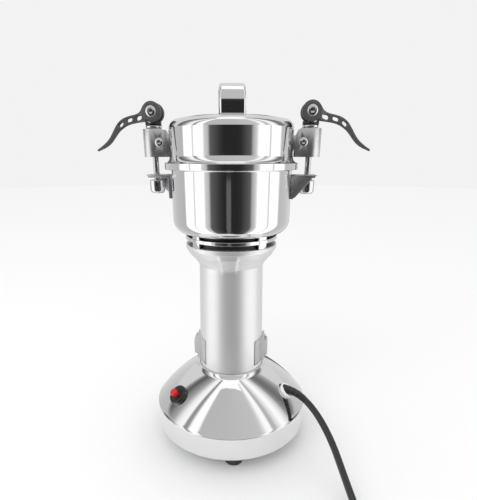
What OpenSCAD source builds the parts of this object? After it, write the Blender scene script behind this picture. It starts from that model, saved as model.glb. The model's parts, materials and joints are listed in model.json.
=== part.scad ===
// Upright electric grain mill: a spun steel foot, a cast motor column, a round
// grinding bowl with a clamped lid, and a mains cord coiled for storage.
// Millimetres, +Z up, origin on the floor under the motor shaft.
// The two lid clamps lie along X; the cord leaves towards +X and -Y.

/* [Base] */
// Outer radius of the base rim
base_r = 75; // [68:0.5:82]
// Height of the rubber feet
foot_h = 15.2; // [12:0.1:20]
// Diameter of a rubber foot
foot_d = 18; // [14:0.5:22]
// Distance from the rim to the middle of a foot
foot_inset = 21; // [20:0.5:26]
// Thickness of the bottom plate
plate_t = 1.5; // [1.2:0.1:2.5]
// Height of the upright rim band
rim_h = 24.3; // [18:0.1:30]
// Height of the cone above the rim
cone_h = 38.7; // [32:0.1:46]
// Outward bulge of the cone's side
cone_bulge = 2.5; // [1:0.1:4]
// Radius of the neck under the column
neck_r = 33; // [32:0.1:36]
// Wall of the spun steel shell
shell_wall = 1.5; // [1.2:0.1:2]
// Inward lip that carries the bottom plate
lip_w = 9; // [8.5:0.5:10]

/* [Column] */
// Height of the tapered column
column_h = 94; // [88:0.5:104]
// Column radius at its foot
column_foot_r = 30.7; // [30:0.1:32]
// Column radius under the flare
column_top_r = 28.3; // [27.8:0.1:30]
// Radius of the collar on top
collar_r = 40.2; // [39:0.1:43]
// Height of the flare under the collar
flare_h = 21; // [18:0.5:26]
// Height of the collar's upright lip
collar_h = 4; // [3:0.1:6]
// Height of a brush window
window_h = 25; // [23:0.5:28]
// Half of the angle that a window spans
window_angle = 46; // [38:0.5:47]

/* [Motor] */
// Outer radius of the stator, which is pressed into the column
stator_r = 25; // [24:0.1:25.4]
// Length of the stator and the armature
stack_h = 40; // [34:0.5:44]
// Radius of the armature
armature_r = 14.7; // [13:0.1:15]
// Air gap between armature and poles
air_gap = 0.5; // [0.4:0.05:0.8]
// Radius of the motor shaft
shaft_r = 4; // [3.5:0.1:4.5]
// Outer radius of a ball bearing
bearing_r = 11; // [10:0.5:12]
// Width of a ball bearing
bearing_h = 7; // [6:0.5:8]
// Radius of the commutator
commutator_r = 11; // [10:0.1:12]
// Length of the commutator
commutator_h = 13; // [11:0.5:15]
// Radius of the cooling fan
fan_r = 22; // [18:0.5:23.5]
// Height of the cooling fan
fan_h = 8; // [6:0.5:9]
// Width of a carbon brush
brush_w = 5; // [4:0.1:6]
// Height of a carbon brush
brush_h = 8; // [6:0.1:9]
// Length of a new carbon brush
brush_len = 10; // [8:0.5:11]

/* [Bowl] */
// Outer radius of the bowl and the lid
bowl_r = 50.3; // [49:0.1:51.5]
// Sheet thickness of the bowl and the lid
bowl_wall = 1.6; // [1.2:0.1:2]
// Height from the bowl's underside to its rim
bowl_h = 53.1; // [50:0.1:60]
// Rounding of the bowl's lower corner
bowl_corner = 11; // [8:0.5:14]
// Width of the rim flanges, beyond the wall
flange_w = 4.7; // [4.4:0.1:6]
// Thickness of each rim flange
flange_t = 1.8; // [1.4:0.1:2.4]
// Thickness of the lid's turned-down rim, which hides the bowl's flange
skirt_t = 1.4; // [1:0.1:1.6]
// Height of the polished ring under the bowl
ring_h = 9.8; // [8.5:0.1:12]
// Radius of the polished ring
ring_r = 40.3; // [39:0.1:42]
// Depth of the ring's two grooves, which four posts cross
groove_d = 4.2; // [3:0.1:4.4]

/* [Blades] */
// Tip radius of the blades
blade_r = 43; // [36:0.5:45]
// Width of a blade at its hub
blade_w = 14; // [12:0.5:18]
// Thickness of a blade
blade_t = 2.5; // [2:0.1:3]
// Spacer between the two blades
spacer_h = 8; // [6:0.5:10]
// Rise of the upper blade's tips
upper_rise = 9; // [4:0.5:12]

/* [Lid] */
// Height from the lid's flange to its flat top
lid_h = 35.5; // [32:0.1:42]
// Rounding of the lid's shoulder
lid_shoulder = 7; // [6:0.5:12]
// Height of the hollow curve between the lid's wall and its rim
lid_foot_h = 6.4; // [4.2:0.1:7]
// Thickness of the silicone gasket
gasket_t = 1.2; // [1:0.1:1.6]
// Length of the strap handle
handle_len = 56; // [48:0.5:64]
// Width of the strap handle
handle_w = 19.6; // [16:0.1:24]
// Height of the strap handle above the lid
handle_h = 21.5; // [18:0.1:30]
// Thickness of the handle strap
handle_t = 1.8; // [1.4:0.1:2.4]
// Bend radius of the handle
handle_bend = 12; // [8:0.5:14]
// Turn of the handle about the lid's centre
handle_turn = 6; // [0:1:10]

/* [Clamps] */
// Distance from the lid wall to the clamp's hinge pin
pin_out = 7.3; // [7:0.1:8]
// Height of the hinge pin above the lid's flange
pin_up = 17.2; // [16:0.1:20]
// Radius of the hinge pin's head
pin_head_r = 3.4; // [3:0.1:4]
// Height of the hinge pin's head
pin_head_h = 1.4; // [1:0.1:2]
// Distance from the hinge pin to the clamp rod
rod_out = 5.8; // [5.6:0.1:6.4]
// Radius of the clamp rod
rod_r = 2.45; // [2.2:0.05:2.6]
// Height of the yoke
yoke_h = 21; // [19:0.5:22]
// Width of the yoke
yoke_w = 18; // [17:0.5:20]
// Radius of the lever's cam head
cam_r = 7.6; // [7:0.1:7.8]
// Eccentricity of the cam head
cam_throw = 0.6; // [0.4:0.1:1]
// Width of the lever's cam head
lever_w = 14; // [13:0.5:15]
// Width of the lever's arm
arm_w = 5; // [4:0.5:9]
// Reach of the lever, from its hub to its tip
lever_reach = 48.6; // [44:0.1:56]
// Radius of the barrel pin in the cam head
barrel_r = 4.2; // [3.6:0.1:4.4]
// Thickness of the plastic cam seat
seat_t = 1.3; // [1:0.1:2]
// Thickness of the steel washer
washer_t = 2.8; // [2:0.1:4]
// Radius of the seat and the washer
seat_r = 6.5; // [6:0.1:7.5]
// Radius of the round nut
nut_r = 6.35; // [5.5:0.05:6.5]
// Height of the round nut
nut_h = 10.8; // [9:0.1:13]
// Overhang of the fork past the rod
fork_over = 6.8; // [6:0.1:7]
// Thickness of the fork plate
fork_t = 2.4; // [2:0.1:3]
// Height of the bracket's back plate
fork_h = 19; // [15:0.5:21]

/* [Switch and cord] */
// Radius of the switch bezel
bezel_r = 9.4; // [9:0.1:11.5]
// Radius of the switch barrel
barrel_switch_r = 8; // [7:0.1:8.5]
// Depth of the switch barrel behind the shell
switch_depth = 20; // [16:0.5:21]
// Length of a switch terminal behind the barrel
terminal_l = 7; // [6:0.5:8]
// Radius of the red push button
button_r = 3.7; // [3.5:0.1:5]
// Height of the push button above its collar
button_h = 4.4; // [3.5:0.1:6]
// Travel of the push button
button_travel = 2.5; // [1.5:0.1:3]
// Diameter of the mains cord
cord_d = 6.2; // [5.6:0.1:6.2]
// Outer radius of the white grommet
grommet_r = 7.8; // [7:0.1:9]
// Width of the mains plug
plug_w = 24; // [20:0.5:25]
// Length of the mains plug's body
plug_len = 32; // [28:0.5:36]

/* [Fits] */
// Radial clearance of a turning or sliding fit
running = 0.05; // [0.03:0.01:0.08]
// Radial clearance of a seated fit
seat_gap = 0.02; // [0.01:0.01:0.05]
// Free space between parts that move past each other
free_gap = 0.3; // [0.2:0.05:0.4]

/* [Hidden] */
$fn = 72;
LEFT = 180;
RIGHT = 0;
steel = [0.80, 0.81, 0.83];
cast = [0.72, 0.73, 0.74];
dark = [0.10, 0.10, 0.11];
anodised = [0.20, 0.21, 0.22];
copper = [0.72, 0.40, 0.20];
brass = [0.80, 0.65, 0.30];

foot_ring_r = base_r - foot_inset;
flange_r = bowl_r + flange_w;
bowl_flange_r = flange_r - skirt_t - free_gap;

// Heights, counted up from the floor
rim_z = foot_h + plate_t;
shoulder_z = rim_z + rim_h;
neck_z = shoulder_z + cone_h;
column_top_z = neck_z + column_h;
collar_z = column_top_z + flare_h + collar_h;
bowl_z = collar_z + ring_h;
floor_z = bowl_z + bowl_wall;
flange_z = bowl_z + bowl_h;
gasket_z = flange_z + 0.2;
lid_z = gasket_z + gasket_t;
lid_top = lid_z + lid_h;

// Motor heights
bridge_t = 3.5;
bridge_drop = 4.7;
lower_bearing_z = neck_z - bridge_drop + 0.5;
window_z = neck_z + 4;
brush_z = window_z + window_h / 2 - 1.7;
commutator_z = brush_z - commutator_h / 2;
stack_z = neck_z + 35.3;
bore_step_z = stack_z - 5;
web_z = column_top_z + 1.3;
web_t = 6;
upper_bearing_z = web_z + 2;
fan_z = web_z - 12;
shaft_z0 = neck_z - 7;
seal_z1 = floor_z + 1.4;
lower_blade_z = floor_z + 7;
upper_blade_z = lower_blade_z + blade_t + spacer_h;
blade_nut_z = upper_blade_z + blade_t;
blade_nut_h = 8;
shaft_z1 = blade_nut_z + blade_nut_h + 3;
inner_foot_r = column_foot_r - 3.1;

// Clamp places, measured on the right-hand side
pin_x = bowl_r + pin_out;
pin_z = lid_z + pin_up;
rod_x = pin_x + rod_out;
yoke_z = pin_z - 11;
yoke_top = yoke_z + yoke_h;
seat_z = yoke_top + washer_t;
cam_z = seat_z + seat_t + cam_r + cam_throw + free_gap;
seat_rim = 1.3;
fork_z1 = flange_z - flange_t - 4.1;
fork_z0 = fork_z1 - fork_t;
fork_x1 = rod_x + fork_over;
nut_z1 = fork_z0 - 2.1;
nut_z0 = nut_z1 - nut_h;

// Points on an arc, from angle a to angle b
function arc(cx, cy, r, a, b, n) =
    [for (i = [0:n]) [cx + r * cos(a + (b - a) * i / n), cy + r * sin(a + (b - a) * i / n)]];

// Smooth curve through points: k steps between each pair of points
function spline_at(a, b, c, d, t) =
    0.5 * (2 * b + (c - a) * t + (2 * a - 5 * b + 4 * c - d) * t * t
           + (3 * b - 3 * c + d - a) * t * t * t);
function spline(p, k) = [
    for (i = [0:len(p) - 2], j = [0:k - 1])
        spline_at(i == 0 ? 2 * p[0] - p[1] : p[i - 1], p[i], p[i + 1],
                  i == len(p) - 2 ? 2 * p[i + 1] - p[i] : p[i + 2], j / k),
    p[len(p) - 1]
];

function unit(v) = v / norm(v);
function level(v) = abs(v[2]) > 0.9 ? [1, 0, 0] : [0, 0, 1];
function heading(p, i) = unit(p[min(i + 1, len(p) - 1)] - p[max(i - 1, 0)]);

// Closed tube along points p, with a radius for each point and a given number of sides;
// start and stop can fix the directions of its two end faces
module tube(p, radii, sides, start = undef, stop = undef) {
    n = len(p);
    rings = [for (i = [0:n - 1])
        let (t = i == 0 && !is_undef(start) ? start : i == n - 1 && !is_undef(stop) ? stop : heading(p, i),
             u = unit(cross(level(t), t)), w = cross(t, u))
        for (j = [0:sides - 1]) p[i] + radii[i] * (cos(360 * j / sides) * u + sin(360 * j / sides) * w)];
    walls = [for (i = [0:n - 2], j = [0:sides - 1])
        let (a = i * sides + j, b = i * sides + (j + 1) % sides)
        each [[a, a + sides, b], [b, a + sides, b + sides]]];
    starts = [for (j = [1:sides - 2]) [0, j, j + 1]];
    last = (n - 1) * sides;
    ends = [for (j = [1:sides - 2]) [last, last + j + 1, last + j]];
    polyhedron(points = rings, faces = concat(walls, starts, ends), convexity = 10);
}

// Places children on the right-hand side, or turned half round to the left
module side(turn) { rotate([0, 0, turn]) children(); }

// Mirrors children to the left-hand side when turn is LEFT
module hand(turn) { mirror([turn == LEFT ? 1 : 0, 0, 0]) children(); }

// Cylinder from z0 to z1
module post(r, z0, z1) { translate([0, 0, z0]) cylinder(r = r, h = z1 - z0); }

// Cylinder along Y, centred on the XZ plane
module cross_pin(r, w) { rotate([90, 0, 0]) cylinder(r = r, h = w, center = true); }

// Slot outline, l long and w wide
module slot2d(l, w) {
    square([l - w, w], center = true);
    for (s = [-1, 1]) translate([s * (l - w) / 2, 0]) circle(d = w);
}

// Side of the base cone: t runs from 0 at the neck to 1 at the shoulder
cone_a = [neck_r, neck_z - 1.7];
cone_b = [base_r - 0.7, shoulder_z];
cone_n = let (d = unit(cone_b - cone_a)) [-d[1], d[0]];
function cone_pt(t, inset) = cone_a + (cone_b - cone_a) * t
    + cone_n * (4 * cone_bulge * t * (1 - t) - inset);
function cone_tilt(t) = let (d = cone_pt(t + 0.01, 0) - cone_pt(t - 0.01, 0)) atan2(-d[1], d[0]);

// Point x down the slope and z out along the normal, at one spot of the cone
function cone_spot(azimuth, t, x, z) = let (p = cone_pt(t, 0), b = cone_tilt(t),
    r = p[0] + x * cos(b) + z * sin(b)) [r * cos(azimuth), r * sin(azimuth), p[1] - x * sin(b) + z * cos(b)];

// Puts children on the cone, with their Z along the outward normal
module on_cone(azimuth, t) {
    p = cone_pt(t, 0);
    rotate([0, 0, azimuth]) translate([p[0], 0, p[1]]) rotate([0, cone_tilt(t), 0]) children();
}
// What lies outside the cone, so that a flange seats on its curve
module above_cone() difference() {
    children();
    rotate_extrude() polygon(concat([[0, cone_a[1]]],
        [for (i = [0:10]) cone_pt(i / 10, -0.03)], [[0, cone_b[1]]]));
}
switch_azimuth = -144;
switch_t = 0.6;
grommet_azimuth = -22;
grommet_t = 0.585;
neck_screw_r = 24;
neck_screw_angles = [60, 120, 240, 300];
lip_screw_r = base_r - 6;
lip_screw_angles = [90, 210, 330];
foot_angles = [-84, 36, 156];
neck_hole_r = 21;

module base_shell() color(steel) difference() {
    rotate_extrude($fn = 120) polygon(concat(
        [[neck_hole_r, neck_z], [neck_r - 1.8, neck_z], [neck_r - 0.5, neck_z - 0.5]],
        [for (i = [0:10]) cone_pt(i / 10, 0)],
        [[base_r - 0.2, shoulder_z - 2], [base_r, shoulder_z - 4.5], [base_r, rim_z + 4],
         [base_r - 0.6, rim_z + 1.6], [base_r - 2, rim_z], [base_r - lip_w, rim_z],
         [base_r - lip_w, rim_z + shell_wall], [base_r - 2.4, rim_z + shell_wall],
         [base_r - shell_wall, rim_z + 4], [base_r - shell_wall, shoulder_z - 4.5]],
        [for (i = [10:-1:1]) cone_pt(i / 10, shell_wall)],
        [[neck_r - 1.8, neck_z - shell_wall], [neck_hole_r, neck_z - shell_wall]]));
    on_cone(switch_azimuth, switch_t) post(barrel_switch_r + seat_gap, -8, 8);
    on_cone(grommet_azimuth, grommet_t) post(grommet_r - 1.6 + seat_gap, -8, 8);
    cord_bore(cord_r + 1.8);
    for (a = neck_screw_angles) rotate([0, 0, a]) translate([neck_screw_r, 0, 0])
        post(2.1, neck_z - 5, neck_z + 1);
    for (a = lip_screw_angles) rotate([0, 0, a]) translate([lip_screw_r, 0, 0])
        post(2.1, rim_z - 1, rim_z + 5);
}

module base_plate() color(steel) difference() {
    post(base_r - 2.5, rim_z - plate_t, rim_z);
    for (a = lip_screw_angles) rotate([0, 0, a]) translate([lip_screw_r, 0, 0])
        post(2.1, 0, rim_z + 1);
    for (a = foot_angles) rotate([0, 0, a]) translate([foot_ring_r, 0, 0])
        post(2.1, 0, rim_z + 1);
}

foot_edge = 1.2;
module rubber_feet() color(dark) for (a = foot_angles) rotate([0, 0, a])
    translate([foot_ring_r, 0, 0]) rotate_extrude() polygon(concat(
        [[2.1, foot_h], [2.1, 5], [4.1, 5], [4.1, 0]],
        arc(foot_d / 2 - foot_edge, foot_edge, foot_edge, -90, 0, 6),
        [[foot_d / 2, foot_h - 1], [foot_d / 2 - 1, foot_h]]));

// One screw standing on its head, with a nut on the thread
module screw_up(head_r, head_h, z_head, z_tip, r) {
    post(head_r, z_head, z_head + head_h);
    post(r, z_head, z_tip);
}

module base_fasteners() color(steel) {
    for (a = lip_screw_angles) rotate([0, 0, a]) translate([lip_screw_r, 0, 0]) {
        screw_up(3.6, 1.6, foot_h - 1.6, rim_z + shell_wall + 4, 2);
        post(3.2, rim_z + shell_wall, rim_z + shell_wall + 2.6);
    }
    for (a = foot_angles) rotate([0, 0, a]) translate([foot_ring_r, 0, 0]) {
        screw_up(3.6, 2.4, 2.6, rim_z + 4.2, 2);
        post(3.6, rim_z, rim_z + 3);
    }
}

// Pie-shaped prism that spans an angle to each side of +X
module wedge(half_angle, z0, z1) translate([0, 0, z0]) linear_extrude(z1 - z0)
    polygon([[0, 0], [60, -60 * tan(half_angle)], [60, 60 * tan(half_angle)]]);

// Cast housing, with a low pad on the front of its flare
pad_angle = 12.5;
module motor_housing() color(cast) difference() {
    union() {
        rotate_extrude($fn = 120) polygon([
            [column_foot_r, neck_z], [column_top_r, column_top_z],
            [column_top_r + 0.5, column_top_z + flare_h * 0.28],
            [column_top_r + 2.8, column_top_z + flare_h * 0.43],
            [column_top_r + 5.1, column_top_z + flare_h * 0.6],
            [collar_r - 3.4, column_top_z + flare_h * 0.77],
            [collar_r - 0.9, column_top_z + flare_h * 0.96],
            [collar_r, column_top_z + flare_h + 0.6], [collar_r, collar_z],
            [collar_r - 11, collar_z], [collar_r - 11, collar_z - 7],
            [column_top_r - 3.3, web_z + web_t + 1], [column_top_r - 4, web_z + web_t],
            [bearing_r + 4, web_z + web_t], [bearing_r + 4, upper_bearing_z + bearing_h + 1],
            [bearing_r + seat_gap, upper_bearing_z + bearing_h + 1],
            [bearing_r + seat_gap, upper_bearing_z],
            [bearing_r - 2, upper_bearing_z], [bearing_r - 2, web_z],
            [stator_r + seat_gap, web_z], [stator_r + seat_gap, bore_step_z],
            [inner_foot_r, bore_step_z - 2], [inner_foot_r, neck_z]]);
        rotate([0, 0, -90]) intersection() {
            wedge(pad_angle, column_top_z, collar_z);
            rotate_extrude() polygon([
                [column_top_r - 2, column_top_z + flare_h * 0.2],
                [column_top_r + 1, column_top_z + flare_h * 0.22],
                [column_top_r + 4.3, column_top_z + flare_h * 0.44],
                [column_top_r + 6.6, column_top_z + flare_h * 0.62],
                [collar_r - 2.2, column_top_z + flare_h * 0.86],
                [column_top_r - 2, column_top_z + flare_h * 0.86]]);
        }
        for (a = neck_screw_angles) intersection() {
            rotate([0, 0, a]) translate([neck_screw_r, 0, 0]) post(4, neck_z + bridge_t, neck_z + 18);
            post(inner_foot_r + 1, neck_z, neck_z + 20);
        }
    }
    for (turn = [LEFT, RIGHT]) side(turn) wedge(window_angle, window_z, window_z + window_h);
    for (a = neck_screw_angles) rotate([0, 0, a]) translate([neck_screw_r, 0, 0])
        post(2.05, neck_z, neck_z + 14);
    for (a = bowl_screw_angles) rotate([0, 0, a]) translate([bowl_screw_r, 0, 0])
        post(2.05, collar_z - 6, collar_z + 1);
}
bowl_screw_r = 33;
bowl_screw_angles = [45, 165, 285];

module bearing_bridge() color(cast) difference() {
    union() {
        post(inner_foot_r - 0.1, neck_z, neck_z + bridge_t);
        post(bearing_r + 3, neck_z - bridge_drop, neck_z + bridge_t);
    }
    post(bearing_r + seat_gap, lower_bearing_z, neck_z + bridge_t + 1);
    post(bearing_r - 2, 0, lower_bearing_z + 1);
    for (a = neck_screw_angles) rotate([0, 0, a]) translate([neck_screw_r, 0, 0])
        post(2.05, 0, neck_z + 10);
    for (s = [-1, 1]) translate([s * 4.5, -wire_y, 0]) post(1.9, 0, neck_z + 10);
}

module housing_screws() color(steel)
    for (a = neck_screw_angles) rotate([0, 0, a]) translate([neck_screw_r, 0, 0])
        screw_up(3.6, 2.4, neck_z - shell_wall - 2.4, neck_z + 12, 2);

module ball_bearings() color(steel) for (z = [lower_bearing_z, upper_bearing_z])
    translate([0, 0, z]) difference() {
        cylinder(r = bearing_r, h = bearing_h);
        translate([0, 0, -1]) cylinder(r = shaft_r + running, h = bearing_h + 2);
        for (s = [-0.5, bearing_h - 0.5]) translate([0, 0, s]) difference() {
            cylinder(r = bearing_r - 2, h = 1);
            cylinder(r = shaft_r + 2, h = 1);
        }
    }

// Pole outline of the stator: two poles across Y
pole_w = 17;
yoke_ring = 4.6;
module stator_core() color([0.35, 0.36, 0.38]) translate([0, 0, stack_z])
    linear_extrude(stack_h) difference() {
        circle(r = stator_r);
        difference() {
            circle(r = stator_r - yoke_ring);
            square([pole_w, 2 * stator_r], center = true);
        }
        circle(r = armature_r + air_gap);
    }

module field_coils() color(copper) for (s = [-1, 1]) intersection() {
    translate([0, s * 18, stack_z + stack_h / 2]) rotate([90, 0, 0]) difference() {
        cube([pole_w + 16, stack_h + 11, 12], center = true);
        cube([pole_w + 0.2, stack_h + 0.2, 14], center = true);
    }
    difference() {
        post(stator_r - yoke_ring - 0.15, stack_z - 6, stack_z + stack_h + 6);
        post(armature_r + air_gap + 0.3, stack_z - 7, stack_z + stack_h + 7);
    }
}

// Brush gear, drawn on the right-hand side
cover_in_r = inner_foot_r + 0.2;
cover_angle = window_angle - 9;
cover_screw_up = window_h / 2 - 2.4;
cover_z = window_z + window_h / 2;
module brush_holders() color([0.16, 0.12, 0.10])
    for (turn = [LEFT, RIGHT]) side(turn) brush_holder();
module brush_holder() difference() {
    union() {
        translate([commutator_r + 2.2, -brush_w / 2 - 2, brush_z - brush_h / 2 - 2])
            cube([cover_in_r - 0.6 - commutator_r - 2.2, brush_w + 4, brush_h + 4]);
        translate([inner_foot_r - 5, -5, cover_z - cover_screw_up - 2.4])
            cube([4.4, 10, 2 * cover_screw_up + 4.8]);
    }
    translate([0, -brush_w / 2 - 0.12, brush_z - brush_h / 2 - 0.12])
        cube([40, brush_w + 0.24, brush_h + 0.24]);
    for (s = [-1, 1]) translate([0, 0, cover_z + s * cover_screw_up]) rotate([0, 90, 0])
        cylinder(r = 1.27, h = 40);
}

boss_x = column_foot_r + 5;
module brush_covers() color([0.78, 0.79, 0.80])
    for (turn = [LEFT, RIGHT]) side(turn) brush_cover();
module brush_cover() difference() {
    union() {
        for (rim = [0, 1]) intersection() {
            difference() {
                post(column_foot_r - 0.5 - 1.2 * rim, window_z + 0.4, window_z + window_h - 0.4);
                post(cover_in_r, window_z, window_z + window_h);
            }
            wedge(rim == 1 ? window_angle - 1.2 : cover_angle, window_z, window_z + window_h);
        }
        translate([cover_in_r + 1, -8, window_z + 0.4])
            cube([column_foot_r + 1.9 - cover_in_r - 1, 16, window_h - 0.8]);
        translate([column_foot_r, 0, cover_z]) rotate([0, 90, 0]) linear_extrude(boss_x - column_foot_r)
            offset_box(window_h - 9.4, 15, 3);
    }
    for (s = [-1, 1]) translate([0, 0, cover_z + s * cover_screw_up]) rotate([0, 90, 0])
        cylinder(r = 1.3, h = 60);
}

// Rectangle with round corners, from exact pieces
module offset_box(l, w, r) {
    square([l - 2 * r, w], center = true);
    square([l, w - 2 * r], center = true);
    for (x = [-1, 1], y = [-1, 1]) translate([x * (l / 2 - r), y * (w / 2 - r)]) circle(r = r);
}

module cover_screws() color(steel) for (turn = [LEFT, RIGHT], s = [-1, 1]) side(turn)
    translate([0, 0, cover_z + s * cover_screw_up]) rotate([0, 90, 0]) {
        translate([0, 0, inner_foot_r - 4]) cylinder(r = 1.25, h = column_foot_r - inner_foot_r + 6.5);
        translate([0, 0, column_foot_r + 1.9]) cylinder(r = 2.1, h = 1.5);
    }

brush_x0 = commutator_r + 0.1;
spring_turns = 5;
spring_wire_r = 0.25;
spring_r = brush_w / 2 - 0.7;
spring_x0 = commutator_r + brush_len + spring_wire_r + 0.03;
module carbon_brush(turn) color([0.12, 0.12, 0.13]) side(turn) difference() {
    translate([commutator_r - 1, -brush_w / 2, brush_z - brush_h / 2])
        cube([brush_len + 1, brush_w, brush_h]);
    post(brush_x0, 0, collar_z);
}

// Brush spring: a helix of wire between the brush and the cover
module brush_spring(turn) color(steel) side(turn) {
    span = cover_in_r - spring_wire_r - 0.03 - spring_x0;
    n = spring_turns * 8;
    p = [for (i = [0:n]) [spring_x0 + span * i / n,
        spring_r * cos(360 * i / 8), brush_z + spring_r * sin(360 * i / 8)]];
    tube(p, [for (q = p) spring_wire_r], 6);
}

// Switch: round bezel outside, threaded barrel through the shell
collar_switch_r = button_r + 1.7;
bezel_h = 3;
collar_switch_h = 1.4;
terminal_x = 3.2;
module switch_body() color(dark) difference() {
    union() {
        above_cone() on_cone(switch_azimuth, switch_t) bezel();
        on_cone(switch_azimuth, switch_t) barrel();
    }
    on_cone(switch_azimuth, switch_t) post(button_r + running, -6, 20);
}
module bezel() rotate_extrude() polygon(concat(
    [[0, -1], [bezel_r, -1], [bezel_r, 1.4]],
    arc(bezel_r - 1.8, 1.6, 1.8, 0, 80, 6),
    [[collar_switch_r + 1, 0.6 + bezel_h], [collar_switch_r, 0.6 + bezel_h],
     [collar_switch_r, 0.6 + bezel_h + collar_switch_h], [0, 0.6 + bezel_h + collar_switch_h]]));
module barrel() {
    post(barrel_switch_r, -switch_depth, 1);
    for (s = [-1, 1]) translate([s * terminal_x - 0.4, -2.4, -switch_depth - terminal_l])
        cube([0.8, 4.8, terminal_l + 1]);
}

module switch_ring_nut() color(dark) on_cone(switch_azimuth, switch_t) difference() {
    post(barrel_switch_r + 2.8, -shell_wall - 3.9, -shell_wall - 1);
    post(barrel_switch_r + seat_gap, -switch_depth, 0);
}

button_z1 = 0.6 + bezel_h + collar_switch_h + button_h;
module switch_button() color([0.75, 0.12, 0.10]) on_cone(switch_azimuth, switch_t)
    rotate_extrude() polygon(concat(
        [[0, -6 + button_travel + 0.5], [button_r, -6 + button_travel + 0.5]],
        arc(button_r - 1.8, button_z1 - 1.8, 1.8, 0, 75, 6),
        [[0, button_z1]]));

// Cord route: hand-chosen points from inside the shell to the start of the coil
cord_route = [
    [44, -18, 59.5], [54, -22, 60.5], [64, -26.8, 59.2], [72.5, -32.5, 55.2], [80, -40, 49.6],
    [86.3, -49, 43.4], [91.5, -59, 36.8], [95.8, -69, 29.8], [99.5, -80, 22.2], [103, -91, 14.8],
    [106, -102, 8.8], [108.7, -114, 4.8], [110.3, -128, 3.4], [111, -145, 3.2], [111, -163.8, 3.2]
];
relief_steps = 3;
cord_r = cord_d / 2;
function relief_r(s) = s < 0.34 ? cord_r + 1.1 : cord_r + 1.1 - 1.0 * (s - 0.34) / 0.66;
coil_x = 64.3;
coil_y = -170;
coil_z = 3.2;
coil_out_r = 46.7;
coil_pitch = 6.9;
coil_layer = 6.9;
turns_in = 3;
turns_back = 2.25;
rings_per_turn = 24;

// One curve carries both: the relief's tip and the cord's start share a face
cord_steps = 4;
cord_line = spline(cord_route, cord_steps);
relief_n = relief_steps * cord_steps;
module strain_relief() color(dark)
    tube([for (i = [0:relief_n]) cord_line[i]], [for (i = [0:relief_n]) relief_r(i / relief_n)], 12,
        stop = heading(cord_line, relief_n));

module mains_cord() color(dark)
    tube([for (i = [relief_n:len(cord_line) - 1]) cord_line[i]],
        [for (i = [relief_n:len(cord_line) - 1]) cord_r], 12, start = heading(cord_line, relief_n));

// Coil: turns spiral in on the floor, climb where the spiral reverses, and spiral out on top
turn_angle = 360 * turns_in;
coil_end_r = coil_out_r - coil_pitch * (turns_in - turns_back);
function coil_radius(a) = coil_out_r - coil_pitch * (turns_in - abs(turns_in - a / 360));
function climb(a) = let (s = max(0, min(1, (a - turn_angle + 90) / 180))) s * s * (3 - 2 * s);
function coil_pt(a) = [coil_x + coil_radius(a) * cos(-a), coil_y + coil_radius(a) * sin(-a),
                       coil_z + coil_layer * climb(a)];
coil_last = 360 * (turns_in + turns_back);
coil_end = coil_pt(coil_last);
plug_x1 = coil_end[0] - 39.3;
relief_tip_x = plug_x1 + 18;
coil_steps = rings_per_turn * (turns_in + turns_back);
coil_path = concat([cord_route[len(cord_route) - 1]],
    [for (i = [0:coil_steps]) coil_pt(360 * i / rings_per_turn)],
    [[coil_end[0] - cord_d, coil_end[1], coil_end[2]], [relief_tip_x, coil_end[1], coil_end[2]]]);

// Least gap of the coil to itself, between rings more than half a turn apart
coil_gap = min([for (i = [0:2:len(coil_path) - 1], j = [i + 13:len(coil_path) - 1])
    norm(coil_path[i] - coil_path[j])]) - cord_d;
echo(coil_gap = coil_gap);
echo(coil_length = norm_sum(coil_path), cord_length = norm_sum(cord_line));
function norm_sum(p, i = 1, s = 0) = i >= len(p) ? s : norm_sum(p, i + 1, s + norm(p[i] - p[i - 1]));

module cord_coil() color(dark) tube(coil_path, [for (q = coil_path) cord_r], 6);

plug_half = coil_end[2] - 0.1;
module plug_body() color(dark) translate([plug_x1, coil_end[1], coil_end[2]]) rotate([0, -90, 0]) {
    linear_extrude(plug_len) offset_box(2 * plug_half, plug_w, 5);
    translate([0, 0, -18]) cylinder(r1 = cord_r + 0.7, r2 = plug_half - 3.5, h = 18);
}

pin_gap = 12.7;
module plug_pins() color(brass) for (s = [-1, 1])
    translate([plug_x1 - plug_len - 16, coil_end[1] + s * pin_gap / 2 - 0.75, coil_end[2] - 3.1])
        cube([16, 1.5, 6.2]);

// Inner wires: hand-chosen points from the cord and the switch to the field coils. At the
// switch they end 0.3 clear of its terminals
wire_y = 18.5;
wire_r = 1.2;
terminal_end = -switch_depth - terminal_l - wire_r - free_gap;
wire_routes = [
    [[43.6, -16.6, 60.6], [36, -16, 61], [26, -17, 64], [14, -wire_y, 69], [4.5, -wire_y, 77],
     [4.5, -wire_y, 88], [4.5, -wire_y, 100], [4.5, -17.6, stack_z - 5.7]],
    [[43.4, -18.6, 58.6], [36, -22, 52], [20, -28, 44], [0, -31, 40], [-18, -28, 36],
     cone_spot(switch_azimuth, switch_t, terminal_x, terminal_end)],
    [cone_spot(switch_azimuth, switch_t, -terminal_x, terminal_end), [-26, -17, 46], [-16, -17.5, 56],
     [-8, -wire_y, 66], [-4.5, -wire_y, 77],
     [-4.5, -wire_y, 88], [-4.5, -wire_y, 100], [-4.5, -17.6, stack_z - 5.7]]
];
module inner_wires() color([0.45, 0.28, 0.14]) for (w = wire_routes) {
    p = spline(w, 3);
    tube(p, [for (q = p) wire_r], 6);
}

module cord_grommet() color([0.93, 0.93, 0.92]) difference() {
    union() {
        above_cone() on_cone(grommet_azimuth, grommet_t) rotate_extrude() polygon(concat(
            [[0, -1], [grommet_r, -1]], arc(grommet_r - 1.3, 1.3, 1.3, 0, 90, 5), [[0, 2.6]]));
        on_cone(grommet_azimuth, grommet_t) post(grommet_r - 1.6, -3.6, 1);
    }
    cord_bore(cord_r + 1.35);
}
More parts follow.
